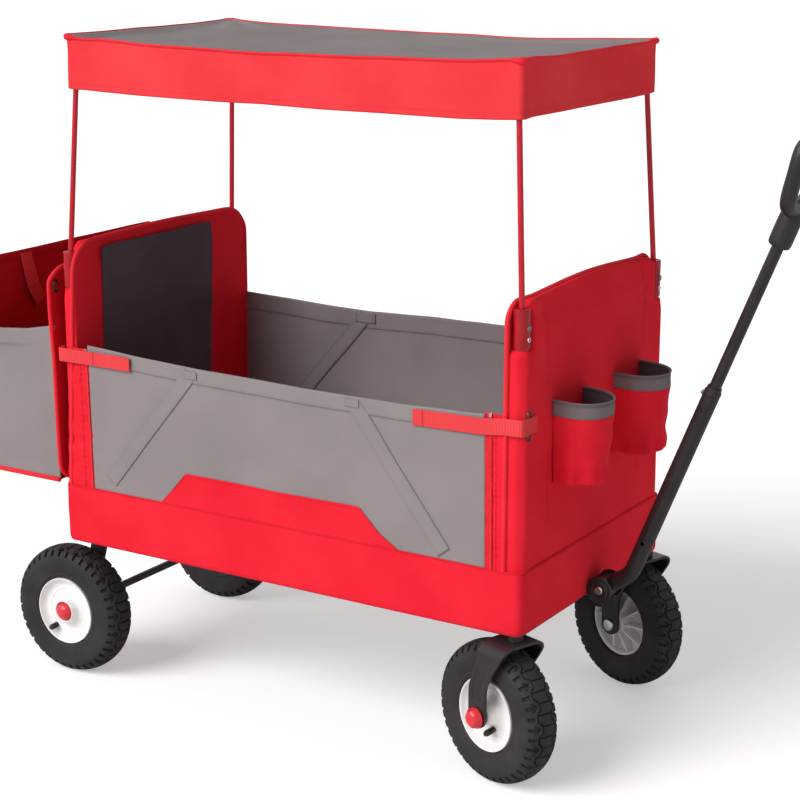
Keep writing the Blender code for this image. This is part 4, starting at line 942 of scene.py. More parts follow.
@dataclass
class EndWall:
    """A stuffed red end wall: a full inner layer, and an outer one cut away round the sockets."""

    name: str
    side: int
    body: str
    node: str
    seed: int
    top: float
    corner: float
    inner: float = 0.3620
    outer: float = 0.3900
    half_width: float = 0.2122
    bottom: float = 0.2460
    crown: float = 0.0030
    ridge: float = 0.0060
    pinch: float = 0.60
    edge: float = 0.20
    lean: float = 0.0
    notch_y: float = 0.1850
    notch_z: float = 0.6120
    middle: float = 0.4500
    piping: float = 0.0034

    def rim(self, y: np.ndarray) -> np.ndarray:
        """Height of the full outline's top: level, with a quarter circle down at each corner."""
        past = np.clip(np.abs(y) - (self.half_width - self.corner), 0.0, self.corner)
        return self.top - self.corner + np.sqrt(np.maximum(self.corner**2 - past**2, 0.0))

    def ridged(self, depth: np.ndarray, y: np.ndarray, z: np.ndarray) -> np.ndarray:
        """Distance from the wagon's middle at a depth in the wall.

        Args:
            depth: Depth from the inner face; towards the top both faces near the frame's plane.
            y: Distance across the wagon.
            z: Height.

        Returns:
            The wall's x, not yet mirrored for the rear.
        """
        rise = smooth((z - self.top + 0.045) / 0.045) * smooth((self.notch_y + 0.005 - np.abs(y)) / 0.040)
        round_edge = self.edge * smooth((np.abs(y) - self.half_width + 0.011) / 0.011)
        back = leant(self.lean, y, z) * (1.0 - depth / (self.outer - self.inner))
        return self.inner + back + self.ridge * rise + depth * (1.0 - self.pinch * rise) * (1.0 - round_edge)

    def outline(self, notched: bool) -> np.ndarray:
        """Closed outline in (y, z).

        Args:
            notched: True for square steps in at the top corners, False for round corners.

        Returns:
            Points at equal distances, one per row.
        """
        angle = np.linspace(0.0, math.pi / 2, 24)
        arc = self.half_width - self.corner + self.corner * np.cos(angle)
        if notched:
            step, ledge = self.notch_y, self.notch_z
            upper = step - 0.008
            right = np.array([
                [self.half_width, self.bottom], [self.half_width, ledge - 0.006],
                [self.half_width - 0.006, ledge], [step + 0.005, ledge], [step, ledge + 0.008],
                [step, float(self.rim(np.array(step))) - 0.008], [upper, float(self.rim(np.array(upper)))]])
        else:
            right = np.concatenate([[[self.half_width, self.bottom]], np.stack([arc, self.rim(arc)], axis=1)])
        across = np.linspace(right[-1, 0], -right[-1, 0], 60)[1:-1]
        lift = self.rim(across) + self.crown * (1.0 - (across / right[-1, 0]) ** 2) ** 2
        left = right[::-1] * np.array([-1.0, 1.0])
        loop = np.concatenate([right, np.stack([across, lift], axis=1), left])
        return even(loop, 1600, closed=True)

    def polar(self, notched: bool, angles: np.ndarray) -> np.ndarray:
        """Radius of the outline seen from the wall's middle at each angle."""
        loop = self.outline(notched) - np.array([0.0, self.middle])
        turn = np.arctan2(loop[:, 1], loop[:, 0])
        order = np.argsort(turn)
        return np.interp(angles, turn[order], np.linalg.norm(loop, axis=1)[order], period=math.tau)

    def surface(self) -> tuple[np.ndarray, np.ndarray, np.ndarray]:
        """Closed surface: rings from the inner face's middle over both outlines to the outer face's middle.

        Returns:
            Grid of points, seam values and texture coordinates.
        """
        angles = np.linspace(-math.pi, math.pi, 560, endpoint=False)
        full, cut = self.polar(False, angles), self.polar(True, angles)
        face = np.linspace(0.0, 0.985, 26)
        rings = [(share, self.inner, full, 0.0) for share in face]
        rings += [(1.0, self.inner + depth, full, inset) for inset, depth in
                  ((0.0012, 0.0002), (0.0003, 0.0010), (0.0, 0.0022), (0.0006, 0.0040))]
        rings += [(1.0, self.inner + 0.0046, cut, 0.0006), (1.0, self.inner + 0.0060, cut, 0.0)]
        rings += [(1.0, x, cut, 0.0) for x in np.linspace(self.inner + 0.009, self.outer - 0.009, 5)]
        rings += [(1.0, self.outer - back, cut, inset) for inset, back in
                  ((0.0003, 0.0065), (0.0012, 0.0040), (0.0026, 0.0020), (0.0046, 0.0008), (0.0070, 0.0002))]
        rings += [(share, self.outer, cut, 0.0) for share in np.linspace(0.955, 0.0, 30)]
        share = np.array([ring[0] for ring in rings])[:, None]
        x = np.broadcast_to(np.array([ring[1] for ring in rings])[:, None], (len(rings), len(angles)))
        radius = np.stack([ring[2] - ring[3] for ring in rings]) * share
        y = radius * np.cos(angles)
        z = self.middle + radius * np.sin(angles)
        on_inner = smooth((self.inner + 0.002 - x) / 0.002)
        on_outer = smooth((x - self.outer + 0.002) / 0.002)
        loose = smooth((1.0 - share) / 0.10) * smooth((z - 0.30) / 0.05)
        ripple = waves(y, z * 0.7, self.seed, 0.22)
        tail = ramp(z, [(0.30, -0.1352), (0.54, -0.1446), (0.70, -0.1490)])
        strip = bell(y, tail, 0.0016) + bell(-y, tail, 0.0016)
        post = bell(np.abs(y), 0.1985, 0.010) * smooth((0.61 - z) / 0.02)
        swell = 0.0014 * ripple * loose + 0.0016 * post + 0.0022 * smooth((0.14 - np.abs(y)) / 0.10) * loose
        x = self.ridged(x - self.inner, y, z)
        x = x + on_outer * (swell - 0.0012 * strip * loose)
        x = x - on_inner * 0.0010 * waves(y, z, self.seed + 5, 0.20) * loose
        seam = 0.22 * strip * on_outer * loose
        travel = x - self.inner
        coords = np.stack([y + travel * np.cos(angles), z + travel * np.sin(angles)], axis=-1)
        return np.stack([self.side * x, y, z], axis=-1), np.clip(seam, 0.0, 1.0), coords

    def piping_path(self) -> np.ndarray:
        """Line of the piping: up the near edge, round both top corners and down the far edge."""
        loop = self.outline(False)
        start = int(np.argmin(np.abs(loop[:, 0] + self.half_width) + np.abs(loop[:, 1] - 0.310)))
        loop = np.roll(loop, -start, axis=0)[::-1]
        loop = loop[loop[:, 1] > 0.3095]
        near = smooth((-loop[:, 0] - 0.12) / 0.08)
        lean = (0.0540 * (0.640 - loop[:, 1]) * (self.side < 0)) * near
        x = self.side * (self.ridged(np.full(len(loop), 0.0034), loop[:, 0], loop[:, 1]) + lean)
        out = 1.0 + 0.0012 / self.half_width
        return even(np.stack([x, loop[:, 0] * out, loop[:, 1]], axis=1), 420)

    def build(self) -> None:
        """Makes the wall and the piping sewn round its inner edge."""
        points, seam, coords = self.surface()
        work = Patchwork()
        work.grid(points, (False, True), seam, coords=coords)
        path = self.piping_path()
        cord = carried(path, circle(self.piping, 12), (1.0, 0.0, 0.0))
        work.grid(capped(cord), (False, True), finish=1)
        piece = work.build(self.name, [RED_CLOTH, RED_PIPING])
        settle(piece, self.body, (self.node,))


@dataclass
class ZipStrip:
    """A red zip strip between the near side's end and an end wall, with its teeth and its top stop."""

    name: str
    body: str
    wall_edge: tuple[float, float]
    cloth_edge: tuple[float, float]
    teeth: tuple[float, float]
    seam_at: tuple[float, float]
    bottom: float = 0.3095
    top: float = 0.5250
    plane: float = -0.2146
    pucker: float = 0.0006
    thickness: float = 0.0012
    span: tuple[float, float] | None = None

    def at(self, ends: tuple[float, float], z: np.ndarray) -> np.ndarray:
        """An x that runs from its foot value to its top value."""
        return ends[0] + (ends[1] - ends[0]) * (z - self.bottom) / (self.top - self.bottom)

    def build(self) -> None:
        """Lays the strip with small puckers along its seam and sets the teeth on it as blocks."""
        z = np.linspace(self.bottom, self.top, 150)[:, None]
        u = np.linspace(0.0, 1.0, 44)[None]
        start, end = self.at(self.wall_edge, z), self.at(self.cloth_edge, z)
        x = start + (end - start) * u
        away = np.abs(x - self.at(self.seam_at, z))
        y = self.plane - self.pucker * np.sin(z * 520.0 + 3.0 * np.sin(z * 90.0)) * np.exp(-away / 0.004)
        y = y - self.pucker * 0.8 * waves(x, z, 37, 0.05)
        chain_side = np.abs(np.abs(x - self.at(self.teeth, z)) - 0.0026)
        seam = np.maximum(0.5 * bell(away, 0.0, 0.0010), 0.45 * bell(chain_side, 0.0, 0.0006))
        work = Patchwork()
        work.grid(np.stack([x, y, np.broadcast_to(z, x.shape)], axis=-1), seam=seam)
        piece = work.build(self.name, [RED_CLOTH], facing=(0.0, -1.0, 0.0))
        thicken(piece, self.thickness)
        settle(piece, self.body)
        rows = np.arange(self.bottom + 0.004, self.top - 0.004, 0.0021)
        chain_y = np.full(rows.shape, self.plane - 0.0008)
        centres = np.stack([self.at(self.teeth, rows), chain_y, rows], axis=1)
        chain = Patchwork()
        chain.blocks(centres, (0.0016, 0.0012, 0.0007))
        stop = self.top - 0.002
        chain.blocks(np.array([[self.at(self.teeth, np.array(stop)), self.plane - 0.0014, stop]]),
                     (0.0018, 0.0013, 0.0024), 1)
        teeth = chain.build(self.name + "_teeth", [RED_PLASTIC, ZINC])
        settle(teeth, self.body)
        if self.span is not None:
            fold_flat(piece)
            fold_flat(teeth)


@dataclass
class Backrest:
    """The charcoal pad on the inside of the rear wall."""

    low: tuple[float, float] = (-0.1510, 0.3440)
    high: tuple[float, float] = (0.1230, 0.6690)
    back: float = -0.3612
    lean: float = 0.0100
    depth: float = 0.0075
    pressure: float = 2.5
    slack: float = 0.0024

    def build(self) -> None:
        """Two sheets sewn at their edge; the front one is a flat dome with soft slanted creases."""
        v = np.linspace(-1.0, 1.0, 74)[:, None]
        u = np.linspace(-1.0, 1.0, 64)[None]
        half_y, half_z = (self.high[0] - self.low[0]) / 2, (self.high[1] - self.low[1]) / 2
        centre_y, centre_z = (self.high[0] + self.low[0]) / 2, (self.high[1] + self.low[1]) / 2
        pull = 1.0 - 0.012 * (1.0 - u**2) * np.abs(v) ** 3
        blunt = 1.0 - 0.022 * (u * v) ** 10
        y = centre_y + u * half_y * blunt * (1.0 - 0.018 * (1.0 - v**2) * np.abs(u) ** 3)
        z = centre_z + v * half_z * blunt * pull
        dome = (np.clip(1.0 - u**6, 0.0, 1.0) * np.clip(1.0 - v**6, 0.0, 1.0)) ** 0.45
        slant = np.sin((y * 0.8 + z) * 62.0 + 2.2 * np.sin(y * 31.0)) * smooth(1.3 - 1.2 * np.abs(v))
        crease = np.clip(0.5 * waves(y, z, 41, 0.13) + 0.5 * slant, -1.0, 1.0)
        back = self.back - leant(self.lean, y, z)
        front = back + self.depth * dome * (0.80 + 0.20 * crease)
        rear = back + 0.0004 * (1.0 - dome)
        work = Patchwork()
        work.grid(np.stack([front, y, z], axis=-1))
        work.grid(np.stack([rear, y, z], axis=-1))
        piece = work.build("backrest_pad", [CHARCOAL_CLOTH])
        place = np.array([vertex.co for vertex in piece.data.vertices]) - SHIFT
        proud = place[:, 0] - self.back + leant(self.lean, place[:, 1], place[:, 2])
        puffed(piece, (proud < SEWN_WITHIN).astype(float), self.pressure, self.slack)
        settle(piece, "rear_end", ("rear_backrest_pad",))


@dataclass
class Apron:
    """A dark cloth strip on an end frame that closes the slot between the floor and the end wall."""

    side: int
    inner: float = 0.3300
    outer: float = 0.3650
    half_width: float = 0.2090
    height: float = 0.2468
    sag: float = 0.0012
    thickness: float = 0.0010

    def build(self) -> None:
        """Lays the strip level, with a shallow sag along its middle."""
        u = np.linspace(0.0, 1.0, 12)[None]
        y = np.linspace(-self.half_width, self.half_width, 60)[:, None]
        x = self.side * (self.inner + (self.outer - self.inner) * u) + 0 * y
        z = self.height - self.sag * np.sin(math.pi * u) * (1.0 + 0.4 * np.sin(y * 40.0))
        work = Patchwork()
        work.grid(np.stack([x, y + 0 * u, z], axis=-1))
        end = "rear" if self.side < 0 else "front"
        piece = work.build(end + "_apron", [CHARCOAL_CLOTH], facing=(0.0, 0.0, 1.0))
        thicken(piece, self.thickness)
        settle(piece, end + "_end")


@dataclass
class StorageBag:
    """The open bag behind the rear wall: grey sides, a tall outer panel, a back and a webbing loop."""

    depth: float = 0.5553
    start: float = 0.4080
    half_width: float = 0.2095
    bottom: float = 0.3120
    corner: float = 0.0160
    side_top: list[tuple[float, float]] = field(default_factory=lambda: [
        (-0.5553, 0.5360), (-0.5133, 0.5363), (-0.4600, 0.5420), (-0.4323, 0.5475), (-0.3900, 0.5560)])
    thickness: float = 0.0022
    wall_plane: float = 0.3920
    back_half: float = 0.2128
    back_corner: float = 0.0300
    back_top: float = 0.6400
    back_depth: float = 0.0040
    back_lean: list[tuple[float, float]] = field(default_factory=lambda: [
        (0.31, 0.4010), (0.385, 0.4035), (0.50, 0.4055), (0.57, 0.4095), (0.62, 0.4100), (0.65, 0.4000)])
    outer_top: float = 0.6380
    eyelet: tuple[float, float, float] = (-0.4088, -0.2010, 0.6110)

    def path(self) -> np.ndarray:
        """Plan of the shell: from the near flange round the outer panel to the far flange."""
        r = self.corner
        angle = np.linspace(0.0, math.pi / 2, 10)[1:-1]
        out, over = r - r * np.sin(angle), r - r * np.cos(angle)
        near = np.stack([-self.depth + out, -self.half_width + over], axis=1)
        far = np.stack([-self.depth + over, self.half_width - out], axis=1)
        side = np.linspace(-self.start, -self.depth + r, 44)
        across = np.linspace(-self.half_width + r, self.half_width - r, 60)
        first = np.stack([side, np.full(side.shape, -self.half_width)], axis=1)
        middle = np.stack([np.full(across.shape, -self.depth), across], axis=1)
        last = np.stack([side[::-1], np.full(side.shape, self.half_width)], axis=1)
        return np.concatenate([first, near, middle, far, last])

    def shell(self) -> None:
        """The U-shaped wall: height runs up to the top line, low waves bulge the sides outward."""
        plan = self.path()
        v = np.linspace(0.0, 1.0, 54)[:, None]
        rise = smooth((np.abs(plan[:, 0]) - (self.depth - 0.020)) / 0.018)
        low_top = ramp(plan[:, 0], self.side_top)
        top = low_top + (self.outer_top - low_top) * rise
        z = self.bottom + (top - self.bottom) * v
        x = np.broadcast_to(plan[:, 0], z.shape)
        y = np.broadcast_to(plan[:, 1], z.shape)
        length = travelled(plan)
        bulge = 0.0025 * waves(np.broadcast_to(length, z.shape), z, 53, 0.26) * smooth(v / 0.1)
        belly = 0.0030 * bell(z, 0.42, 0.09) * smooth((np.abs(x) - self.start) / 0.04)
        on_side = smooth((self.half_width - np.abs(y)) / -0.004 + 1.0)
        y = y + np.sign(y) * (bulge + belly) * on_side
        x = x - (bulge + 0.3 * belly) * (1.0 - on_side)
        below = (top - self.bottom) * (1.0 - v)
        side_seam = 0.55 * bell(below, 0.0250, 0.0010) * on_side
        seam = np.maximum(side_seam, 0.4 * bell(below, 0.0120, 0.0010) * (1 - on_side))
        grey = np.nonzero(np.abs(plan[:, 1]) >= self.half_width - 1e-6)[0]
        half = len(plan) // 2
        last_near = int(grey[grey < half].max())
        first_far = int(grey[grey > half].min())
        work = Patchwork()
        shell = np.stack([x, y, z], axis=-1)
        panels = ((0, last_near, 0), (last_near, first_far, 1), (first_far, len(plan) - 1, 0))
        for low, high, finish in panels:
            work.grid(shell[:, low:high + 1], seam=seam[:, low:high + 1], finish=finish)
        shares = np.linspace(1.0, 0.0, 14)[:, None]
        middle = np.array([-0.5 * (self.depth + self.start), 0.0])
        wall_side = np.linspace(self.half_width, -self.half_width, 32)[1:-1]
        closing = np.stack([np.full(wall_side.shape, -self.start), wall_side], axis=1)
        floor = middle + (np.concatenate([shell[0, :, :2], closing]) - middle) * shares[..., None]
        level = np.full(floor.shape[:2], self.bottom)
        work.grid(np.concatenate([floor, level[..., None]], axis=2), (False, True), finish=1)
        # The bag's outer panel and floor take the red cloth darkened with painted shade.
        piece = work.build("storage_bag_shell", [GREY_CLOTH, RED_CLOTH_WITH_PAINTED_SHADE], facing=(-1.0, 0.0, 0.0))
        thicken(piece, self.thickness)
        settle(piece, "rear_end", ("storage_bag",))

    def back(self) -> None:
        """The back panel beside the wall, rounded and piped all round; it leans off the wall at the top."""
        half_height = (self.back_top - self.bottom) / 2
        outline = rounded_rectangle(self.back_half, half_height, self.back_corner, 10, 40)
        middle = (self.back_top + self.bottom) / 2
        shares = np.linspace(0.0, 1.0, 20)[:, None, None]
        yz = outline[None] * shares
        z = middle + yz[..., 1]
        y = yz[..., 0]
        inward = smooth((np.abs(y) - 0.06) / 0.15)
        front = -(self.wall_plane + (ramp(z, self.back_lean) - self.wall_plane) * inward)
        faces = [np.stack([x, y, z], axis=-1) for x in (front, front - self.back_depth)]
        work = Patchwork()
        for face in faces:
            work.grid(face, (False, True))
        work.grid(np.stack([face[-1] for face in faces]), (False, True))
        edge = np.stack([front[-1] - self.back_depth / 2, y[-1], z[-1]], axis=-1)
        work.grid(carried(edge, circle(0.0030, 10), (1.0, 0.0, 0.0), True), (True, True), finish=1)
        # The back panel takes the red cloth darkened with painted shade.
        piece = work.build("storage_bag_back", [RED_CLOTH_WITH_PAINTED_SHADE, RED_PIPING])
        settle(piece, "rear_end")

    def trimmings(self) -> None:
        """The piping at the shell's foot, the loop inside the outer panel and the eyelet by the wall."""
        plan = self.path()
        foot = np.concatenate([plan, np.full((len(plan), 1), self.bottom)], axis=1)
        foot[:, 1] += 0.0012 * np.sign(foot[:, 1])
        work = Patchwork()
        work.grid(capped(carried(even(foot, 260), circle(0.0036, 12), (0.0, 0.0, 1.0))), (False, True))
        piping = work.build("storage_bag_piping", [RED_PIPING])
        settle(piping, "rear_end")
        line = spline(np.array([
            [-0.5510, -0.1070, 0.6330], [-0.5470, -0.1055, 0.6100], [-0.5455, -0.0980, 0.5800],
            [-0.5505, -0.0780, 0.5520]]), 40)
        band = rounded_rectangle(0.0007, 0.0125, 0.0005, 3, 8)
        loop = Patchwork()
        loop.grid(capped(carried(line, band, (1.0, 0.0, 0.0))), (False, True))
        webbing = loop.build("storage_bag_loop", [RED_WEBBING])
        settle(webbing, "rear_end")
        ring = Patchwork()
        turn = circle(0.0090, 40)
        path = self.eyelet + np.stack([np.zeros(40), 0.55 * turn[:, 0], turn[:, 1]], axis=1)
        ring.grid(carried(path, circle(0.0016, 8), (1.0, 0.0, 0.0), True), (True, True))
        eyelet = ring.build("storage_bag_eyelet", [DARK_ZINC])
        settle(eyelet, "rear_end")

    def build(self) -> None:
        """Makes the bag's parts."""
        self.shell()
        self.back()
        self.trimmings()


@dataclass
class CupHolder:
    """A soft cup pocket on the front wall: a D-shaped mouth with a grey band, gathered at its foot."""

    side: int
    wall: float = 0.3912
    centre: float = 0.0900
    half: float = 0.0430
    straight: float = 0.0220
    top: float = 0.5310
    bottom: float = 0.4090
    band: float = 0.0200
    thickness: float = 0.0022

    def surface(self) -> tuple[np.ndarray, np.ndarray, np.ndarray]:
        """The pocket: a U-shaped plan that narrows downwards and closes over a round, pinched foot.

        Returns:
            Grid of points from the mouth to the foot, seam values and the height of each row.
        """
        t = np.linspace(0.0, 1.0, 96)
        reach = self.straight + math.pi * self.half + self.straight
        s = t * reach
        turn = np.clip((s - self.straight) / self.half, 0.0, math.pi)
        past = np.clip(s - self.straight - math.pi * self.half, 0.0, self.straight)
        lead = np.clip(s, 0.0, self.straight) - past
        plan = np.stack([lead + self.half * np.sin(turn), -self.half * np.cos(turn)], axis=1)
        foot_rows = 0.80 + 0.20 * np.linspace(0.0, 1.0, 22)[1:]
        rows = np.concatenate([np.linspace(0.0, 0.80, 34), foot_rows])[:, None]
        height = self.top - self.bottom
        down = rows * height
        curl = np.clip((down - (height - 0.011)) / 0.011, 0.0, 1.0)
        narrow = 1.0 - 0.10 * smooth(down / height)
        scale = narrow * np.sqrt(np.clip(1.0 - curl**2.2, 0.0, 1.0))
        angle = np.broadcast_to(t * math.pi, (len(rows), len(t)))
        pinch = smooth((down - 0.070) / 0.045) * (1 - curl**2)
        fold = 0.0023 * pinch * (np.sin(angle * 7.0 + 1.2 * self.side) + 0.6 * np.sin(angle * 12.0 + 2.0))
        soft = 0.0011 * waves(angle * self.half, np.broadcast_to(down, angle.shape), 61 + self.side, 0.06)
        out = scale + (fold + soft * smooth(down / 0.02)) / self.half
        out[-1] = 0.0
        x = self.wall + np.maximum(plan[:, 0] * out, 0.0)
        y = self.side * self.centre + plan[:, 1] * out
        slump = 0.0040 * np.sin(angle) * smooth(down / height)
        z = self.top - down - 0.0025 * np.sin(angle) * (1.0 - rows) - 0.3 * slump * (1 - curl)
        seam = np.maximum(0.6 * bell(down, self.band, 0.0009), 0.5 * bell(down, 0.003, 0.0008)) + 0 * x
        return np.stack([x, y, z], axis=-1), seam, down[:, 0]

    def build(self) -> None:
        """Makes the pocket with its lining inside."""
        points, seam, down = self.surface()
        finish = np.where(0.5 * (down[1:] + down[:-1]) < self.band, 1, 0)
        work = Patchwork()
        work.grid(points, seam=seam, finish=finish)
        name = ("near" if self.side < 0 else "far") + "_cup"
        piece = work.build(name + "_pocket", [RED_CLOTH, BAND_CLOTH, CHARCOAL_CLOTH, CHARCOAL_CLOTH],
                           facing=(1.0, 0.0, 0.0))
        thicken(piece, self.thickness, 2)
        settle(piece, "front_end", (name + "_holder",))
        mouth = points[0] + np.array([0.0, 0.0, 0.0006])
        rim = Patchwork()
        rim.grid(capped(carried(mouth, circle(0.0012, 8), (0.0, 0.0, 1.0))), (False, True))
        binding = rim.build(name + "_binding", [BAND_CLOTH])
        settle(binding, "front_end")


@dataclass
class Strap:
    """A webbing strap along the near side that wraps round a wall's corner."""

    name: str
    node: str
    free_end: float
    corner: float
    turn_in: float
    heights: list[tuple[float, float]]
    width: float
    stitch: float
    plane: float
    thickness: float = 0.0017
    bend_radius: float = 0.0050
    span: tuple[float, float] | None = None

    def build(self) -> None:
        """Carries a flat webbing section from the free end to the corner and round it."""
        direction = math.copysign(1.0, self.corner - self.free_end)
        r = self.bend_radius
        angle = np.linspace(0.0, math.pi / 2, 10)
        run = np.linspace(self.free_end, self.corner - direction * r, 90)
        side = np.stack([run, np.full(run.shape, self.plane)], axis=1)
        bend = np.stack([self.corner - direction * r + direction * r * np.sin(angle),
                         self.plane + r - r * np.cos(angle)], axis=1)
        back = np.stack([np.full(12, self.corner), np.linspace(self.plane + r, self.turn_in, 12)], axis=1)
        plan = np.concatenate([side, bend[1:], back[1:]])
        z = ramp(plan[:, 0] * direction, [(x * direction, h) for x, h in self.heights])
        path = even(np.concatenate([plan, z[:, None]], axis=1), 130)
        path[:, 1] -= 0.0006 * np.sin(path[:, 0] * 45.0)
        band = rounded_rectangle(self.thickness / 2, self.width / 2, 0.0006, 3, 14)
        work = Patchwork()
        grid = capped(carried(path, band[:, ::-1], (0.0, 0.0, 1.0)))
        sewn = bell(grid[..., 0], self.stitch, 0.0013) * (grid[..., 1] < self.plane + 0.002)
        work.grid(grid, (False, True), 0.6 * sewn)
        piece = work.build(self.name, [RED_WEBBING], crease=50.0)
        settle(piece, "near_side", (self.node,))
        if self.span is not None:
            fold_flat(piece)


def wire_loop(name: str, centre: np.ndarray, half_y: float, half_z: float, wire: float, body: str,
              nodes: tuple[str, ...], finish: Finish) -> None:
    """A wire ring in an upright plane across the wagon: a round section carried along a rounded rectangle."""
    outline = rounded_rectangle(half_y, half_z, min(half_y, half_z) * 0.9, 8, 10)
    path = centre + np.stack([np.zeros(len(outline)), outline[:, 0], outline[:, 1]], axis=1)
    work = Patchwork()
    work.grid(carried(path, circle(wire, 10), (1.0, 0.0, 0.0), True), (True, True))
    settle(work.build(name, [finish]), body, nodes)


@dataclass
class Canopy:
    """The stretched canopy: a grey top that sags between its poles and a red valance below its piping."""

    half_length: float = 0.3718
    half_width: float = 0.1952
    corner: float = 0.0090
    ear: float = 0.0042
    bulb: float = 1.5
    piping: float = 0.0019
    thickness: float = 0.0012

    near_top: list[tuple[float, float]] = field(default_factory=lambda: [
        (-0.3718, 0.9812), (-0.3608, 0.9795), (-0.3535, 0.9762), (-0.3387, 0.9752), (-0.3091, 0.9758),
        (-0.2366, 0.9735), (-0.1660, 0.9724), (-0.0972, 0.9713), (-0.0301, 0.9706), (0.0354, 0.9716),
        (0.0993, 0.9723), (0.1616, 0.9736), (0.2224, 0.9743), (0.2817, 0.9768), (0.3396, 0.9796),
        (0.3718, 0.9812)])
    far_top: list[tuple[float, float]] = field(default_factory=lambda: [
        (-0.3718, 0.9812), (-0.3000, 0.9780), (-0.1200, 0.9745), (0.0709, 0.9736), (0.1674, 0.9728),
        (0.2526, 0.9752), (0.3506, 0.9795), (0.3718, 0.9812)])
    front_top: list[tuple[float, float]] = field(default_factory=lambda: [
        (-0.1952, 0.9812), (-0.1706, 0.9812), (-0.0945, 0.9790), (0.0210, 0.9784), (0.1135, 0.9775),
        (0.1650, 0.9774), (0.1780, 0.9800), (0.1952, 0.9812)])
    rear_top: list[tuple[float, float]] = field(default_factory=lambda: [
        (-0.1952, 0.9812), (-0.1400, 0.9802), (0.0, 0.9795), (0.1400, 0.9802), (0.1952, 0.9812)])
    near_foot: list[tuple[float, float]] = field(default_factory=lambda: [
        (-0.3718, 0.9048), (-0.3600, 0.9030), (-0.3424, 0.9036), (-0.3127, 0.9024), (-0.2397, 0.9008),
        (-0.0992, 0.9005), (-0.0315, 0.9014), (0.0660, 0.9002), (0.1614, 0.9012), (0.2825, 0.9013),
        (0.3408, 0.9035), (0.3718, 0.9055)])
    far_foot: list[tuple[float, float]] = field(default_factory=lambda: [
        (-0.3718, 0.9050), (0.0, 0.9030), (0.3718, 0.9068)])
    front_foot: list[tuple[float, float]] = field(default_factory=lambda: [
        (-0.1952, 0.9055), (-0.1678, 0.9065), (-0.0910, 0.9055), (0.1186, 0.9046), (0.1705, 0.9053),
        (0.1952, 0.9068)])
    rear_foot: list[tuple[float, float]] = field(default_factory=lambda: [
        (-0.1952, 0.9048), (0.0, 0.9036), (0.1952, 0.9050)])

    def top_height(self, x: np.ndarray, y: np.ndarray) -> np.ndarray:
        """Height of the top: its four edge curves blended, less a sag, with creases off the corners.

        Args:
            x: Distance along the wagon.
            y: Distance across it.

        Returns:
            Heights.
        """
        u = np.clip((x / self.half_length + 1.0) / 2.0, 0.0, 1.0)
        v = np.clip((y / self.half_width + 1.0) / 2.0, 0.0, 1.0)
        height = (1 - v) * ramp(x, self.near_top) + v * ramp(x, self.far_top)
        height = height + (1 - u) * ramp(y, self.rear_top) + u * ramp(y, self.front_top) - self.near_top[0][1]
        height = height - 0.0050 * np.sin(math.pi * u) ** 0.8 * np.sin(math.pi * v) ** 0.8
        for sx in (-1, 1):
            for sy in (-1, 1):
                dx, dy = x - sx * self.half_length, y - sy * self.half_width
                along = np.hypot(dx, dy)
                across = dx * sy * self.half_width - dy * sx * self.half_length
                across = across / math.hypot(self.half_length, self.half_width)
                fan = np.sin(12.0 * np.arctan2(across, along + 1e-6))
                height = height + 0.0010 * fan * bell(along, 0.07, 0.06)
        rear_line = 0.020 + 0.010 * np.cos(y * 9.0)
        crease = bell(x + self.half_length, rear_line, 0.010) * smooth((0.19 - np.abs(y)) / 0.05)
        return height - 0.0022 * crease + 0.0006 * waves(x, y, 71, 0.25)

    def foot_height(self, x: np.ndarray, y: np.ndarray) -> np.ndarray:
        """Height of the valance's lower edge at a point of the outline."""
        edges = ((self.near_foot, x, self.half_width + y), (self.far_foot, x, self.half_width - y),
                 (self.front_foot, y, self.half_length - x), (self.rear_foot, y, self.half_length + x))
        heights = [ramp(place, knots) for knots, place, _ in edges]
        weights = [np.exp(-gap / 0.008) for _, _, gap in edges]
        return sum(weight * height for weight, height in zip(weights, heights)) / sum(weights)

    def surface(self) -> tuple[np.ndarray, np.ndarray, np.ndarray, np.ndarray]:
        """Rings from the top's middle to its edge, then down the valance, with an ear at each corner.

        Returns:
            Grid of points, seam values, finish number per row of faces and the edge ring.
        """
        shares = np.concatenate([np.linspace(0.0, 0.90, 34), np.linspace(0.91, 0.994, 8)])
        plain = rounded_rectangle(self.half_length, self.half_width, self.corner, 12, 84)
        from_corner = np.hypot(self.half_length - np.abs(plain[:, 0]), self.half_width - np.abs(plain[:, 1]))
        slant = np.sign(plain) * bell(from_corner, 0.0, 0.020)[:, None] / math.sqrt(2.0)
        ring = plain + self.ear * slant
        flat = shares[:, None, None] * ring
        top = np.concatenate([flat, self.top_height(flat[..., 0], flat[..., 1])[..., None]], axis=2)
        edge = np.concatenate([ring, self.top_height(ring[:, 0], ring[:, 1])[:, None]], axis=1)
        depth = np.concatenate([[0.0006, 0.0020], np.linspace(0.0045, 0.076, 26)])
        rows = []
        foot = self.foot_height(ring[:, 0], ring[:, 1])
        length = travelled(ring)
        borders = np.array([self.half_length, self.half_width]) - 0.012
        for d in depth:
            pull = float(smooth(np.array((d - 0.006) / 0.020)))
            plan = plain + slant * (self.ear + (0.0035 - self.ear) * pull)
            share = d / depth[-1]
            z = edge[:, 2] - share * (edge[:, 2] - foot)
            flutter = 0.0012 * share * np.sin(length * 17.0 + 2.0 * np.sin(length * 5.0) + 2.5 * share)
            slanted = 0.0014 * bell(plan[:, 0] + 0.30 - 0.035 * share, 0.0, 0.008) * (plan[:, 1] < 0)
            push = (flutter + slanted) * smooth(np.array(share / 0.3))
            normal = np.where(np.abs(plan) > borders, np.sign(plan), 0.0)
            normal = normal / np.linalg.norm(normal, axis=1, keepdims=True)
            rows.append(np.concatenate([plan + normal * push[:, None], z[:, None]], axis=1))
        valance = np.stack(rows)
        points = np.concatenate([top, valance])
        seam = np.zeros(points.shape[:2])
        seam[:len(shares)] = 0.35 * bell(shares, 0.975, 0.006)[:, None]
        lift = valance[..., 2] - foot
        seam[len(shares):] = 0.12 * bell(lift, 0.0085, 0.0012)
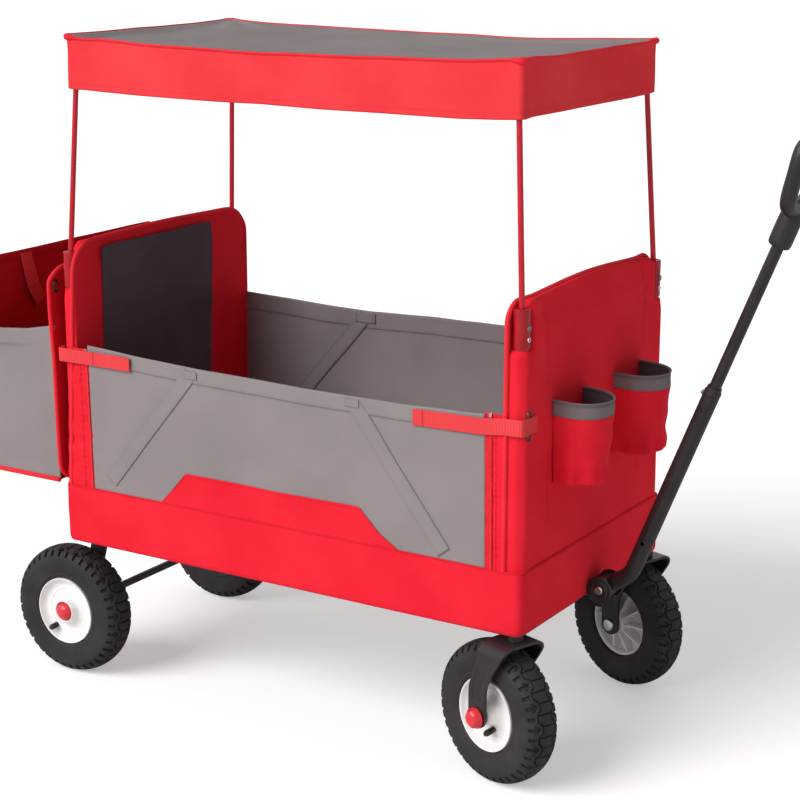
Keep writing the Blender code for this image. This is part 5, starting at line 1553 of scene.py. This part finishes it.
        finish = np.concatenate([np.zeros(len(shares)), np.ones(len(depth) - 1)]).astype(int)
        return points, seam, finish, edge

    def build(self) -> None:
        """Makes the canopy and the piping round its edge."""
        points, seam, finish, edge = self.surface()
        work = Patchwork()
        hanging = int(finish.sum()) + 1
        drop = np.maximum(points[-hanging:, :, 2].max() - points[..., 2], 0.0)
        drop[:-hanging] = 0.0
        coords = points[..., :2] + drop[..., None] * np.sign(points[..., :2]) * np.array([0.3, 1.0])
        work.grid(points, (False, True), seam, finish, coords)
        from_corner = np.hypot(self.half_length - np.abs(edge[:, 0]), self.half_width - np.abs(edge[:, 1]))
        swell = 1.0 + self.bulb * bell(from_corner, 0.0, 0.011)
        cord = edge - np.array([0.0, 0.0, 1.0]) * (0.0006 + 0.0016 * (swell[:, None] - 1.0))
        piping = carried(cord, circle(self.piping, 14), (0.0, 0.0, 1.0), True, swell)
        work.grid(piping, (True, True), finish=2)
        # The valance finish carries painted sheen in its colour.
        piece = work.build("canopy_cloth", [GREY_CLOTH, VALANCE_CLOTH_WITH_PAINTED_SHEEN, RED_PIPING])
        thicken(piece, self.thickness)
        settle(piece, "canopy_rear", ("canopy_cover",))
        fold_flat(piece)


@dataclass
class FloorMat:
    """A quilted charcoal mat on one floor board."""

    side: int
    inner: float = 0.0012
    outer: float = 0.3318
    half_width: float = 0.1996
    bottom: float = 0.2768
    depth: float = 0.0085
    pressure: float = 2.0
    slack: float = 0.0025

    def build(self) -> None:
        """Two sheets sewn at the edge, the upper one domed between rows of quilting."""
        v = np.linspace(-1.0, 1.0, 74)[:, None]
        u = np.linspace(-1.0, 1.0, 62)[None]
        half = (self.outer - self.inner) / 2
        centre = self.side * (self.outer + self.inner) / 2
        y = v * self.half_width + 0 * u
        x = centre + u * half + 0 * v
        dome = (np.clip(1 - u**8, 0, 1) * np.clip(1 - v**8, 0, 1)) ** 0.45
        lines = bell(np.abs(y), 0.067, 0.006) + bell(np.abs(x - centre), 0.0, 0.006)
        loft = 0.88 - 0.22 * np.clip(lines, 0, 1) + 0.08 * waves(x, y, 83, 0.09)
        upper = self.bottom + self.depth * dome * loft
        lower = self.bottom + 0.0004 * (1 - dome)
        work = Patchwork()
        work.grid(np.stack([x, y, upper], axis=-1), seam=0.5 * np.clip(lines, 0, 1) ** 4)
        work.grid(np.stack([x, y, lower], axis=-1))
        end = "rear" if self.side < 0 else "front"
        piece = work.build(end + "_mat_cloth", [CHARCOAL_CLOTH])
        at_rest = np.array([vertex.co.z for vertex in piece.data.vertices]) - SHIFT[2]
        held = (at_rest < self.bottom + SEWN_WITHIN).astype(float)
        puffed(piece, held, self.pressure, self.slack)
        settle(piece, "floor_" + end, (end + "_floor_mat",))


# Running gear


# Hub sections: radius and distance outward from the wheel's middle, in metres
HUB_RIM = [[0.0497, 0.0232], [0.0510, 0.0246], [0.0522, 0.0240], [0.0524, 0.0190]]
DISHED_FACE = [
    [0.0065, 0.0286], [0.0110, 0.0290], [0.0128, 0.0284], [0.0150, 0.0240], [0.0172, 0.0170],
    [0.0200, 0.0130], [0.0270, 0.0112], [0.0330, 0.0116], [0.0352, 0.0122], [0.0375, 0.0118],
    [0.0440, 0.0132], [0.0476, 0.0178]] + HUB_RIM
FLAT_FACE = [
    [0.0065, 0.0200], [0.0150, 0.0205], [0.0154, 0.0262], [0.0172, 0.0268], [0.0186, 0.0240],
    [0.0215, 0.0176], [0.0280, 0.0150], [0.0330, 0.0146], [0.0352, 0.0154], [0.0375, 0.0148],
    [0.0440, 0.0156], [0.0478, 0.0192]] + HUB_RIM
HUB_BACK = [
    [0.0521, -0.0165], [0.0519, -0.0188], [0.0500, -0.0190], [0.0478, -0.0150], [0.0466, -0.0040],
    [0.0400, -0.0010], [0.0280, -0.0008], [0.0185, -0.0020], [0.0160, -0.0100], [0.0150, -0.0284],
    [0.0140, -0.0290], [0.0065, -0.0290]]


def spun(radius: np.ndarray, across: np.ndarray, turn: np.ndarray) -> np.ndarray:
    """Points round a wheel's axle, from their radius and their distance across the wheel at each turn."""
    return np.stack([radius * np.cos(turn), across + 0 * turn, radius * np.sin(turn)], axis=-1)


@dataclass
class Wheel:
    """A treaded tyre on a moulded hub, built round its own axle and then set in its place."""

    name: str
    centre: tuple[float, float, float]
    outward: int
    body: str
    swivel: tuple[float, float] | None = None
    steer: float = 0.0
    dished: bool = True
    radius: float = WHEEL_RADIUS
    lugs: int = 20
    tread_depth: float = 0.0030
    valve_angle: float = 230.0
    valve_radius: float = 0.0380
    ribs: int = 10
    rib_half: float = 0.0014

    def placed(self, points: np.ndarray) -> np.ndarray:
        """Points of the wheel's own frame (across outward, round the axle) set in the wagon's frame."""
        local = points * np.array([1.0, self.outward, 1.0]) + np.array(self.centre)
        return local if self.swivel is None else turned_about(local, self.swivel, self.steer)

    def tread(self, around: np.ndarray, across: np.ndarray, crown: np.ndarray) -> np.ndarray:
        """Depth of the tread: zigzag grooves beside the centre blocks, notches between lugs, and arches.

        Args:
            around: Turn in lug pitches.
            across: Distance from the middle in metres.
            crown: 1 on the tread, falling to 0 down the sidewall.

        Returns:
            Metres to take off the radius.
        """
        pitch = math.tau * self.radius / self.lugs
        reach = np.abs(across)
        phase = around + 0.25 * np.sign(across)
        place = phase - np.floor(phase) - 0.5
        line = 0.0080 + 0.0060 * smooth(np.abs(place) * 3.6 - 0.4)
        beside = groove(reach - line, 0.0020)
        gap = np.abs(phase * 2.0 + 0.25 - np.floor(phase * 2.0 + 0.25) - 0.5) * pitch / 2
        between = groove(gap, 0.0018) * (reach < line)
        lug = np.abs(around * 2.0 - np.floor(around * 2.0) - 0.5) * pitch / 2
        shoulder = 1.3 * groove(lug, 0.0050) * smooth((reach - line - 0.0035) / 0.0010)
        arch = groove(np.hypot(place * pitch, reach - 0.0190) - 0.0052, 0.0015) * (reach < 0.0195)
        return self.tread_depth * np.maximum.reduce([beside, between, shoulder, 0.6 * arch]) * crown

    def tyre(self) -> None:
        """The tyre: a rounded section turned round the axle, with the tread cut into it as a height map."""
        half = spline(np.array([[0.0526, 0.0150], [0.0530, 0.0205], [0.0545, 0.0232], [0.0580, 0.0243],
                                [0.0660, 0.0254], [0.0750, 0.0263], [0.0840, 0.0261], [0.0910, 0.0238],
                                [0.0960, 0.0192], [0.0991, 0.0126], [0.1005, 0.0060], [0.1009, 0.0]]), 200)
        half = even(half, 56)
        section = np.concatenate([half, half[-2::-1] * np.array([1.0, -1.0])])
        steps = 640
        turn = math.tau * np.arange(steps) / steps
        r, y = section[:, :1], section[:, 1:]
        crown = smooth((r - 0.0870) / 0.0032)
        cut = self.tread(self.lugs * turn[None] / math.tau, y, crown)
        across = np.gradient(section, axis=0)
        normal = np.stack([-across[:, 1], across[:, 0]], axis=1)
        normal = normal / np.linalg.norm(normal, axis=1, keepdims=True)
        normal = normal * np.sign(np.sum(normal * (section - np.array([0.078, 0.0])), axis=1, keepdims=True))
        rings = 0.0005 * (bell(r, 0.0590, 0.0009) - bell(r, 0.0610, 0.0008))
        shift = rings - cut
        points = spun(r + shift * normal[:, :1], y + shift * normal[:, 1:], turn)
        inner = spline(np.array([
            [0.0528, -0.0135], [0.0522, -0.0060], [0.0522, 0.0060], [0.0528, 0.0135]]), 6)
        seat = spun(inner[:, :1], inner[:, 1:], turn)
        work = Patchwork()
        work.grid(self.placed(points), (False, True))
        work.grid(self.placed(seat), (False, True))
        piece = work.build(self.name + "_tyre_tread", [TYRE_RUBBER], crease=30.0)
        settle(piece, self.body, (self.name + "_tyre",))

    def hub(self) -> None:
        """The hub: an outer face with a boss, dished or flat, and a ribbed inner face."""
        face = spline(np.array(DISHED_FACE if self.dished else FLAT_FACE), 70)
        back = spline(np.array(HUB_BACK), 60)
        bore = np.array([[0.0063, -0.0285], [0.0063, 0.0282 if self.dished else 0.0195]])
        profile = np.concatenate([face, back, bore, face[:1]])
        work = Patchwork()
        work.grid(self.placed(turned(profile, np.zeros(3), (0.0, 1.0, 0.0), 96)), (False, True))
        for k in range(self.ribs):
            angle = math.tau * k / self.ribs
            out = np.array([math.cos(angle), 0.0, math.sin(angle)])
            over = np.array([-math.sin(angle), 0.0, math.cos(angle)])
            corners = np.array([[0.0155, -0.0240], [0.0475, -0.0140], [0.0470, 0.0], [0.0160, 0.0]])
            flat = corners[:, :1] * out + corners[:, 1:] * np.array([0.0, 1.0, 0.0])
            grid = np.stack([flat - self.rib_half * over, flat + self.rib_half * over])
            work.grid(self.placed(capped(grid)), (False, True))
        piece = work.build(self.name + "_hub_moulding", [WHITE_PLASTIC], crease=34.0)
        settle(piece, self.body, (self.name + "_hub",))

    def valve(self) -> None:
        """The rubber valve: a ribbed stem that stands out of the dish at a slant."""
        angle = math.radians(self.valve_angle)
        out = np.array([math.cos(angle), 0.0, math.sin(angle)])
        start = self.valve_radius * out + np.array([0.0, 0.0095, 0.0])
        axis = 0.16 * out + np.array([0.0, 0.98, 0.0])
        travel = np.linspace(0.0, 0.0200, 60)
        radius = 0.0040 + 0.0005 * np.sign(np.sin(travel * 2600.0)) * (travel > 0.008) * (travel < 0.0175)
        radius = radius - 0.0008 * smooth((travel - 0.0170) / 0.0020)
        work = Patchwork()
        grid = capped(turned(np.stack([radius, travel], axis=1), start, tuple(axis), 20))
        work.grid(self.placed(grid), (False, True))
        piece = work.build(self.name + "_valve", [BLACK_PLASTIC])
        settle(piece, self.body)

    def build(self) -> None:
        """Makes the tyre, hub and valve."""
        self.tyre()
        self.hub()
        self.valve()


CAP_FLATS = 8


def faceted_cap(start: np.ndarray, axis: tuple[float, float, float], conical: bool) -> np.ndarray:
    """A cap whose round foot turns into an octagon and closes in a cone or a low dome.

    Args:
        start: Middle of the cap's foot.
        axis: Outward direction.
        conical: True for the longer cone, False for the low dome.

    Returns:
        Closed grid of points.
    """
    rows = [(0.0, 0.0132), (0.0010, 0.0147), (0.0030, 0.0150), (0.0062, 0.0141), (0.0095, 0.0118),
            (0.0115, 0.0092), (0.0122, 0.0060), (0.0124, 0.0)]
    if not conical:
        rows = [(0.0, 0.0140), (0.0015, 0.0145), (0.0040, 0.0140), (0.0070, 0.0124), (0.0095, 0.0096),
                (0.0108, 0.0066), (0.0114, 0.0030), (0.0115, 0.0)]
    fine = spline(np.array([(radius, travel) for travel, radius in rows]), 30)
    sides = 96
    grid = turned(fine, np.zeros(3), axis, sides)
    angle = math.tau * np.arange(sides) / sides
    sector = math.tau / CAP_FLATS
    flat = math.cos(sector / 2) / np.cos(np.mod(angle, sector) - sector / 2)
    amount = smooth((fine[:, 1] - 0.0022) / 0.003)[:, None]
    factor = 1.0 + (flat - 1.0) * amount
    direction = np.asarray(axis, float) / np.linalg.norm(axis)
    height = (grid @ direction)[..., None] * direction
    return start + height + (grid - height) * factor[..., None]


@dataclass
class Caster:
    """A steered caster: its bent fork, swivel stem and axle cap."""

    side: int
    swivel_x: float = 0.3795
    swivel_y: float = 0.2035
    trail: float = 0.0335
    steer: float = math.radians(-18.9)
    axle: float = WHEEL_RADIUS
    arm: float = 0.0375
    shoulder: float = 0.0170
    crown: float = 0.2108
    thickness: float = 0.0040
    foot: float = 0.0165
    foot_drop: float = 0.0150
    press: float = 0.0009

    def name(self) -> str:
        """The side's word."""
        return "near" if self.side < 0 else "far"

    def steered(self, points: np.ndarray) -> np.ndarray:
        """Points of the straight caster, turned about its swivel."""
        return turned_about(points, (self.swivel_x, self.side * self.swivel_y), self.steer)

    def fork(self) -> None:
        """The fork: a flat strap carried up one arm, over the crown and down the other, wide at the crown."""
        y = self.side * self.swivel_y
        foot = self.axle - self.foot_drop
        shoulder = self.shoulder
        angle = np.linspace(0.0, math.pi / 2, 14)
        up = np.linspace(foot, self.crown - shoulder, 70)
        first = np.stack([np.full(up.shape, -self.arm), up], axis=1)
        over = -self.arm + shoulder - shoulder * np.cos(angle)
        bend = np.stack([over, self.crown - shoulder + shoulder * np.sin(angle)], axis=1)
        half = np.concatenate([first, bend[1:]])
        line = np.concatenate([half, half[::-1] * np.array([-1.0, 1.0])])
        line = even(line, 220)
        height = line[:, 1]
        rise = np.clip((height - self.axle) / (self.crown - self.axle), 0.0, 1.0)
        centre_x = self.swivel_x - self.trail + (self.trail - 0.006) * smooth((rise - 0.30) / 0.75)
        width = self.foot + 0.0085 * smooth((rise - 0.45) / 0.60)
        low = np.clip(self.axle - height, 0.0, self.foot_drop)
        round_foot = self.foot * np.sqrt(np.maximum(1.0 - (low / self.foot_drop) ** 2, 1e-4))
        width = np.where(height < self.axle, round_foot, width)
        path = np.stack([centre_x, y + line[:, 0], height], axis=1)
        upright = np.stack([np.full(len(line), 0.0), line[:, 0], height], axis=1)
        tangent = np.gradient(upright, axis=0)
        tangent = tangent / np.linalg.norm(tangent, axis=1, keepdims=True)
        outward = np.cross(np.array([1.0, 0.0, 0.0]), tangent)
        centre_yz = np.array([0.0, 0.0, self.axle + 0.02])
        flip = np.sign(np.sum(outward * (upright - centre_yz), axis=1, keepdims=True))
        outward = outward * np.where(flip == 0, 1, flip)
        section = rounded_rectangle(1.0, self.thickness / 2, 0.0012, 4, 22)
        reach = np.clip(section[:, 0], -1.0, 1.0)
        x = path[:, 0:1] + reach[None] * width[:, None]
        press = smooth((0.62 - np.abs(reach))[None] / 0.10)
        press = press * smooth((height[:, None] - self.axle - 0.020) / 0.004)
        press = press * smooth((self.axle + 0.0720 - height[:, None]) / 0.004)
        depth = section[:, 1][None] - self.press * press * (section[:, 1] > 0)[None]
        yz = path[:, None, 1:] + outward[:, None, 1:] * depth[..., None]
        grid = np.concatenate([x[..., None], yz], axis=2)
        work = Patchwork()
        work.grid(self.steered(capped(grid)), (False, True))
        stem = np.array([[0.0, 0.2085], [0.0120, 0.2085], [0.0120, 0.2128], [0.0062, 0.2132],
                         [0.0062, 0.2380], [0.0, 0.2385]])
        swivel = np.array([self.swivel_x, y, 0.0])
        work.grid(turned(stem, swivel, (0.0, 0.0, 1.0), 40), (False, True))
        piece = work.build(self.name() + "_fork_strap", [BLACK_PAINT], crease=40.0)
        settle(piece, self.name() + "_caster", (self.name() + "_caster_fork",))

    def bolt_and_cap(self) -> None:
        """The axle bolt with its inner head, and the red cap on the outer end."""
        y = self.side * self.swivel_y
        centre = np.array([self.swivel_x - self.trail, y, self.axle])
        out = (0.0, float(self.side), 0.0)
        rows = np.array([
            [0.0, -0.0446], [0.0050, -0.0445], [0.0086, -0.0434], [0.0092, -0.0420], [0.0092, -0.0396],
            [0.0060, -0.0394], [0.0060, 0.0394], [0.0092, 0.0396], [0.0090, 0.0410], [0.0, 0.0412]])
        work = Patchwork()
        work.grid(self.steered(turned(rows, centre, out, 40)), (False, True))
        bolt = work.build(self.name() + "_axle_bolt", [ZINC])
        settle(bolt, self.name() + "_caster", (self.name() + "_caster_bolt",))
        cap = Patchwork()
        start = centre + 0.0396 * np.array(out)
        cap.grid(self.steered(faceted_cap(start, out, True)), (False, True))
        piece = cap.build(self.name() + "_red_cap", [RED_PLASTIC], crease=24.0)
        settle(piece, self.name() + "_caster", (self.name() + "_caster_cap",))

    def build(self) -> None:
        """Makes the caster and its wheel."""
        self.fork()
        self.bolt_and_cap()
        centre = (self.swivel_x - self.trail, self.side * self.swivel_y, self.axle)
        swivel = (self.swivel_x, self.side * self.swivel_y)
        Wheel(self.name() + "_front", centre, self.side, self.name() + "_front_wheel", swivel, self.steer,
              valve_angle=284.0, valve_radius=0.0230).build()


@dataclass
class RearGear:
    """The rear wheels and the caps on the ends of their axle."""

    axle_x: float = -0.4054
    wheel_y: float = 0.1916
    axle_z: float = WHEEL_RADIUS

    def build(self) -> None:
        """Makes both wheels and caps."""
        for side, word in ((-1, "near"), (1, "far")):
            Wheel(word + "_rear", (self.axle_x, side * self.wheel_y, self.axle_z), side, word + "_rear_wheel",
                  dished=False).build()
            cap = Patchwork()
            start = np.array([self.axle_x, side * (self.wheel_y + 0.0225), self.axle_z])
            cap.grid(faceted_cap(start, (0.0, float(side), 0.0), False), (False, True))
            piece = cap.build(word + "_axle_red_cap", [RED_PLASTIC], crease=24.0)
            settle(piece, "rear_end", (word + "_axle_cap",))


# Frame, sockets and handle


@dataclass
class Sockets:
    """The red sleeves round the pole sockets, with their rims and rivets."""

    x: float = 0.3777
    y: float = 0.1985
    bottom: float = 0.6135
    top: float = 0.6655
    radius: float = 0.0112
    rivet_z: float = 0.6250

    def build(self) -> None:
        """Turns a sleeve with a rolled rim at each corner and sets a ring rivet under each button."""
        r, low, high = self.radius, self.bottom, self.top
        rows = spline(np.array([
            [r - 0.0014, low], [r, low + 0.001], [r, low + 0.02], [r, high - 0.003],
            [r + 0.0002, high - 0.0012], [r - 0.0006, high], [r - 0.0018, high - 0.0002],
            [r - 0.0020, high - 0.004]]), 40)
        rows = np.concatenate([rows, [[r - 0.0020, low + 0.002], rows[0]]])
        stud = np.array([[0.0036, 0.0], [0.0036, 0.0008], [0.0028, 0.0014], [0.0018, 0.0012],
                         [0.0016, 0.0003], [0.0, 0.0003]])
        for sx, end in ((-1, "rear"), (1, "front")):
            for sy, word in ((-1, "near"), (1, "far")):
                centre = np.array([sx * self.x, sy * self.y, 0.0])
                work = Patchwork()
                work.grid(turned(rows, centre, (0.0, 0.0, 1.0), 48), (False, True))
                sleeve = work.build(f"{word}_{end}_socket_sleeve", [SLEEVE_PAINT], crease=45.0)
                settle(sleeve, end + "_end")
                start = np.array([sx * (self.x + r - 0.0004), sy * self.y, self.rivet_z])
                rivet = Patchwork()
                rivet.grid(turned(stud, start, (float(sx), 0.0, 0.0), 24), (False, True))
                piece = rivet.build(f"{word}_{end}_socket_rivet", [ZINC], crease=30.0)
                settle(piece, end + "_end")


@dataclass
class Handle:
    """The pull handle's moulded pieces: the D grip and the round bosses over the pivot."""

    pivot: tuple[float, float] = (0.4110, 0.2330)
    angle: float = math.radians(68.3)
    crank_angle: float = math.radians(33.0)
    crank: float = 0.0476
    grip_start: float = 0.520
    socket_length: float = 0.049
    bar: float = 0.0125
    width: float = 0.120
    height: float = 0.116
    lean: float = math.radians(5.0)
    boss_y: float = 0.0178

    def point(self, distance: float) -> np.ndarray:
        """A point on the straight part of the handle."""
        x = self.pivot[0] + self.crank * math.cos(self.crank_angle) + distance * math.cos(self.angle)
        z = self.pivot[1] + self.crank * math.sin(self.crank_angle) + distance * math.sin(self.angle)
        return np.array([x, 0.0, z])

    def grip(self) -> None:
        """The grip: a turned socket and a closed round-cornered loop whose bar swells at the top."""
        along = np.array([math.cos(self.angle), 0.0, math.sin(self.angle)])
        back = np.array([-math.sin(self.angle), 0.0, math.cos(self.angle)])
        rows = spline(np.array([
            [0.0088, 0.0], [0.0135, 0.0004], [0.0150, 0.0030], [0.0156, 0.0100], [0.0156, 0.0300],
            [0.0154, 0.0400], [0.0140, 0.0480], [0.0100, 0.0530], [0.0, 0.0545]]), 50)
        work = Patchwork()
        work.grid(turned(rows, self.point(self.grip_start), tuple(along), 48), (False, True))
        half = self.width / 2 - self.bar
        rise = self.height - 2 * self.bar
        foot = self.point(self.grip_start + self.socket_length + self.bar * 0.45)
        up = along * math.cos(self.lean) + back * math.sin(self.lean)
        right = [(0.0, 0.0), (0.34, 0.015), (0.70, 0.10), (0.88, 0.28), (0.955, 0.52), (1.00, 0.76),
                 (0.93, 0.93), (0.66, 1.00), (0.30, 1.005)]
        outline = right + [(0.0, 1.01)] + [(-u, v) for u, v in right[:0:-1]]
        knots = np.array(outline + outline[:3])
        samples = 420
        once_round = int(round(samples * len(outline) / (len(knots) - 1)))
        loop = even(spline(knots, samples)[:once_round], 260, True)
        path = foot + loop[:, 1:] * rise * up + loop[:, :1] * half * np.array([0.0, 1.0, 0.0])
        swell = 0.90 + 0.12 * smooth((loop[:, 1] - 0.55) / 0.40)
        profile = circle(self.bar, 28) * np.array([0.94, 1.0])
        facing = np.cross(up, np.array([0.0, 1.0, 0.0]))
        work.grid(carried(path, profile, tuple(facing), True, swell), (True, True))
        piece = work.build("handle_grip_moulding", [BLACK_PLASTIC], crease=50.0)
        settle(piece, "handle_upper", ("handle_grip",))

    def bosses(self) -> None:
        """A stepped round boss each side of the pivot with a bolt head in it."""
        rows = spline(np.array([
            [0.0192, 0.0], [0.0198, 0.0010], [0.0195, 0.0026], [0.0172, 0.0034], [0.0142, 0.0036],
            [0.0132, 0.0050], [0.0112, 0.0055], [0.0084, 0.0050], [0.0076, 0.0026], [0.0, 0.0022]]), 60)
        head = np.array([[0.0064, 0.0016], [0.0064, 0.0044], [0.0052, 0.0056], [0.0, 0.0060]])
        for side, word in ((-1, "near"), (1, "far")):
            start = np.array([self.pivot[0], side * self.boss_y, self.pivot[1]])
            outward = (0.0, float(side), 0.0)
            work = Patchwork()
            work.grid(turned(rows, start, outward, 48), (False, True))
            work.grid(turned(head, start, outward, 24), (False, True), finish=1)
            piece = work.build(word + "_pivot_boss", [BLACK_PLASTIC, ZINC], crease=36.0)
            settle(piece, "front_end")

    def build(self) -> None:
        """Makes the grip and the bosses."""
        self.grip()
        self.bosses()


# Studio


@dataclass
class Studio:
    """White floor and backdrop, a soft key light from the near rear side and the picture's camera."""

    position: tuple[float, float, float] = (1.4918, -2.4154, 1.1995)
    forward: tuple[float, float, float] = (-0.5106, 0.8215, -0.2538)
    right: tuple[float, float, float] = (0.8492, 0.5281, 0.0009)
    lens: float = 89.69
    sensor: float = 36.0
    sky: float = 0.30
    key: float = 2.95
    key_angle: float = 42.0
    towards_key: tuple[float, float, float] = (-0.35, -0.75, 0.55)
    fill: float = 0.15
    fill_angle: float = 50.0
    towards_fill: tuple[float, float, float] = (0.92, -0.15, 0.35)
    lamp_distance: float = 4.0
    floor_half: float = 40.0
    floor_white: float = 0.90
    floor_glow: float = 0.36

    def camera(self) -> None:
        """The camera at the picture's viewing angle."""
        data = bpy.data.cameras.new("camera")
        data.lens = self.lens
        data.sensor_width = self.sensor
        data.clip_end = 100.0
        camera = bpy.data.objects.new("camera", data)
        forward = Vector(self.forward).normalized()
        right = Vector(self.right)
        right = (right - forward * right.dot(forward)).normalized()
        up = right.cross(forward)
        turn = Matrix((right, up, -forward)).transposed()
        camera.matrix_world = Matrix.Translation(self.position) @ turn.to_4x4()
        bpy.context.scene.collection.objects.link(camera)
        bpy.context.scene.camera = camera

    def world(self) -> None:
        """An even sky: dim for lighting, white where the camera or a reflection sees it."""
        world = bpy.data.worlds.new("studio")
        world.use_nodes = True
        tree = world.node_tree
        tree.nodes.clear()
        seen = add_node(tree, "ShaderNodeBackground", {"Strength": 1.0, "Color": (1.0, 1.0, 1.0, 1.0)})
        lit = add_node(tree, "ShaderNodeBackground", {"Strength": self.sky, "Color": (1.0, 0.99, 0.985, 1.0)})
        path = add_node(tree, "ShaderNodeLightPath").outputs
        reflected = {0: path["Is Glossy Ray"], 1: path["Is Transmission Ray"]}
        mirrored = add_node(tree, "ShaderNodeMath", reflected, operation="MAXIMUM").outputs[0]
        straight = {0: path["Is Camera Ray"], 1: mirrored}
        direct = add_node(tree, "ShaderNodeMath", straight, operation="MAXIMUM")
        shaders = {0: direct.outputs[0], 1: lit.outputs[0], 2: seen.outputs[0]}
        mix = add_node(tree, "ShaderNodeMixShader", shaders)
        add_node(tree, "ShaderNodeOutputWorld", {"Surface": mix.outputs[0]})
        bpy.context.scene.world = world

    def sun(self, name: str, towards: tuple[float, float, float], strength: float, angle: float) -> None:
        """A broad sun lamp that shines from a direction."""
        data = bpy.data.lights.new(name, "SUN")
        data.energy = strength
        data.angle = math.radians(angle)
        lamp = bpy.data.objects.new(name, data)
        lamp.rotation_mode = "QUATERNION"
        lamp.rotation_quaternion = Vector(towards).to_track_quat("Z", "Y")
        lamp.location = Vector(towards) * self.lamp_distance
        bpy.context.scene.collection.objects.link(lamp)

    def floor(self) -> None:
        """A white floor with a little light of its own for the camera, so that only the shadow stays grey."""
        mesh = bpy.data.meshes.new("floor")
        far = self.floor_half
        mesh.from_pydata([(-far, -far, 0), (far, -far, 0), (far, far, 0), (-far, far, 0)], [], [(0, 1, 2, 3)])
        floor = bpy.data.objects.new("studio_floor", mesh)
        bpy.context.scene.collection.objects.link(floor)
        material = bpy.data.materials.new("studio floor")
        material.use_nodes = True
        tree = material.node_tree
        tree.nodes.clear()
        white = (self.floor_white, self.floor_white, self.floor_white, 1.0)
        diffuse = add_node(tree, "ShaderNodeBsdfDiffuse", {"Color": white})
        path = add_node(tree, "ShaderNodeLightPath").outputs
        seen = {0: path["Is Camera Ray"], 1: self.floor_glow}
        strength = add_node(tree, "ShaderNodeMath", seen, operation="MULTIPLY").outputs[0]
        glow = add_node(tree, "ShaderNodeEmission", {"Color": (1.0, 1.0, 1.0, 1.0), "Strength": strength})
        add = add_node(tree, "ShaderNodeAddShader", {0: diffuse.outputs[0], 1: glow.outputs[0]})
        add_node(tree, "ShaderNodeOutputMaterial", {"Surface": add.outputs[0]})
        mesh.materials.append(material)

    def build(self) -> None:
        """Makes the camera, the sky, the lamps and the floor."""
        self.camera()
        self.world()
        self.sun("key", self.towards_key, self.key, self.key_angle)
        self.sun("fill", self.towards_fill, self.fill, self.fill_angle)
        self.floor()
        bpy.context.scene.view_settings.view_transform = "Standard"


def dress_frame() -> None:
    """Gives each CAD node that stays in view the finish of its material slot."""
    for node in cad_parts.values():
        for index, material in enumerate(node.data.materials):
            slot = material.name.split(".")[0]
            node.data.materials[index] = SLOT_FINISHES[slot].material()


def build_tub() -> None:
    """Builds the skirt, both sides, the end walls, the zips and the pad on the rear wall."""
    Skirt().build()
    near_cloth = SideCloth(
        "near_side_cloth", "near_side", "near_side_panel", plane=-0.2152, bottom=0.3100,
        left=(-0.3350, -0.3385), right=(0.3374, 0.3347),
        top=[(-0.345, 0.5317), (-0.25, 0.5262), (-0.1291, 0.5218), (0.0435, 0.5188), (0.2057, 0.5188),
             (0.34, 0.5236)],
        hem=0.0235, span=NEAR_SIDE_SPAN, seed=17,
        band_lines=[((-0.3020, 0.3290), (-0.1480, 0.5140)), ((0.2740, 0.3210), (0.1280, 0.5120))],
        band_rise=0.0014, band_stitch=0.20, tab=(0.0115, 0.0110))
    near_cloth.build()
    far_cloth = SideCloth(
        "far_side_cloth", "rear_end", "far_side_panel", plane=0.2128, bottom=0.2840,
        left=(-0.3680, -0.3680), right=(0.3680, 0.3680),
        top=[(-0.36, 0.5362), (-0.24, 0.5330), (-0.12, 0.5300), (0.0, 0.5340), (0.12, 0.5362),
             (0.36, 0.5362)],
        hem=0.0290, span=FAR_SIDE_SPAN, seed=29,
        band_lines=[((-0.3000, 0.3220), (-0.1265, 0.5220)), ((0.3300, 0.3220), (0.1750, 0.5220))],
        fold=0.0036)
    far_cloth.build()
    SidePatch(near_cloth).build()
    EndWall("front_wall", 1, "front_end", "front_wall_cover", 43,
            top=0.6730, crown=0.0065, corner=0.0290).build()
    EndWall("rear_wall", -1, "rear_end", "rear_wall_cover", 47,
            top=0.6790, corner=0.0440, edge=0.50, lean=0.0100).build()
    ZipStrip("front_zip", "front_end", wall_edge=(0.3640, 0.3640), cloth_edge=(0.3360, 0.3330),
             teeth=(0.3465, 0.3438), seam_at=(0.3540, 0.3513)).build()
    ZipStrip("rear_zip", "rear_end", wall_edge=(-0.3870, -0.3760), cloth_edge=(-0.3340, -0.3375),
             teeth=(-0.3378, -0.3416), seam_at=(-0.3525, -0.3545),
             pucker=0.0012, span=NEAR_SIDE_SPAN).build()
    Backrest().build()


def build_straps() -> None:
    """Builds both side straps and the ring that the front one passes."""
    Strap("front_strap_webbing", "front_side_strap", free_end=0.2262, corner=0.3924, turn_in=-0.1800,
          heights=[(0.22, 0.5040), (0.3325, 0.5068), (0.3652, 0.5105), (0.3924, 0.5110)],
          width=0.0225, stitch=0.2420, plane=-0.2186, span=FRONT_STRAP_SPAN).build()
    Strap("rear_strap_webbing", "rear_side_strap", free_end=-0.2570, corner=-0.3924, turn_in=-0.2050,
          heights=[(-0.3924, 0.5157), (-0.25, 0.5128)],
          width=0.0205, stitch=-0.3254, plane=-0.2192).build()
    wire_loop("strap_ring", np.array([0.3914, -0.1985, 0.5110]), 0.0052, 0.0195, 0.0014, "front_end",
              ("strap_buckle",), DARK_ZINC)


def main() -> None:
    """Builds every part of the wagon in turn."""
    logging.basicConfig(level=logging.INFO, format="%(name)s %(message)s", stream=sys.stdout)
    Studio().build()
    dress_frame()
    build_tub()
    StorageBag().build()
    for side in (-1, 1):
        Apron(side).build()
        CupHolder(side).build()
    build_straps()
    Canopy().build()
    for side in (-1, 1):
        FloorMat(side).build()
        Caster(side).build()
    RearGear().build()
    Sockets().build()
    Handle().build()


if __name__ == "__main__":
    main()
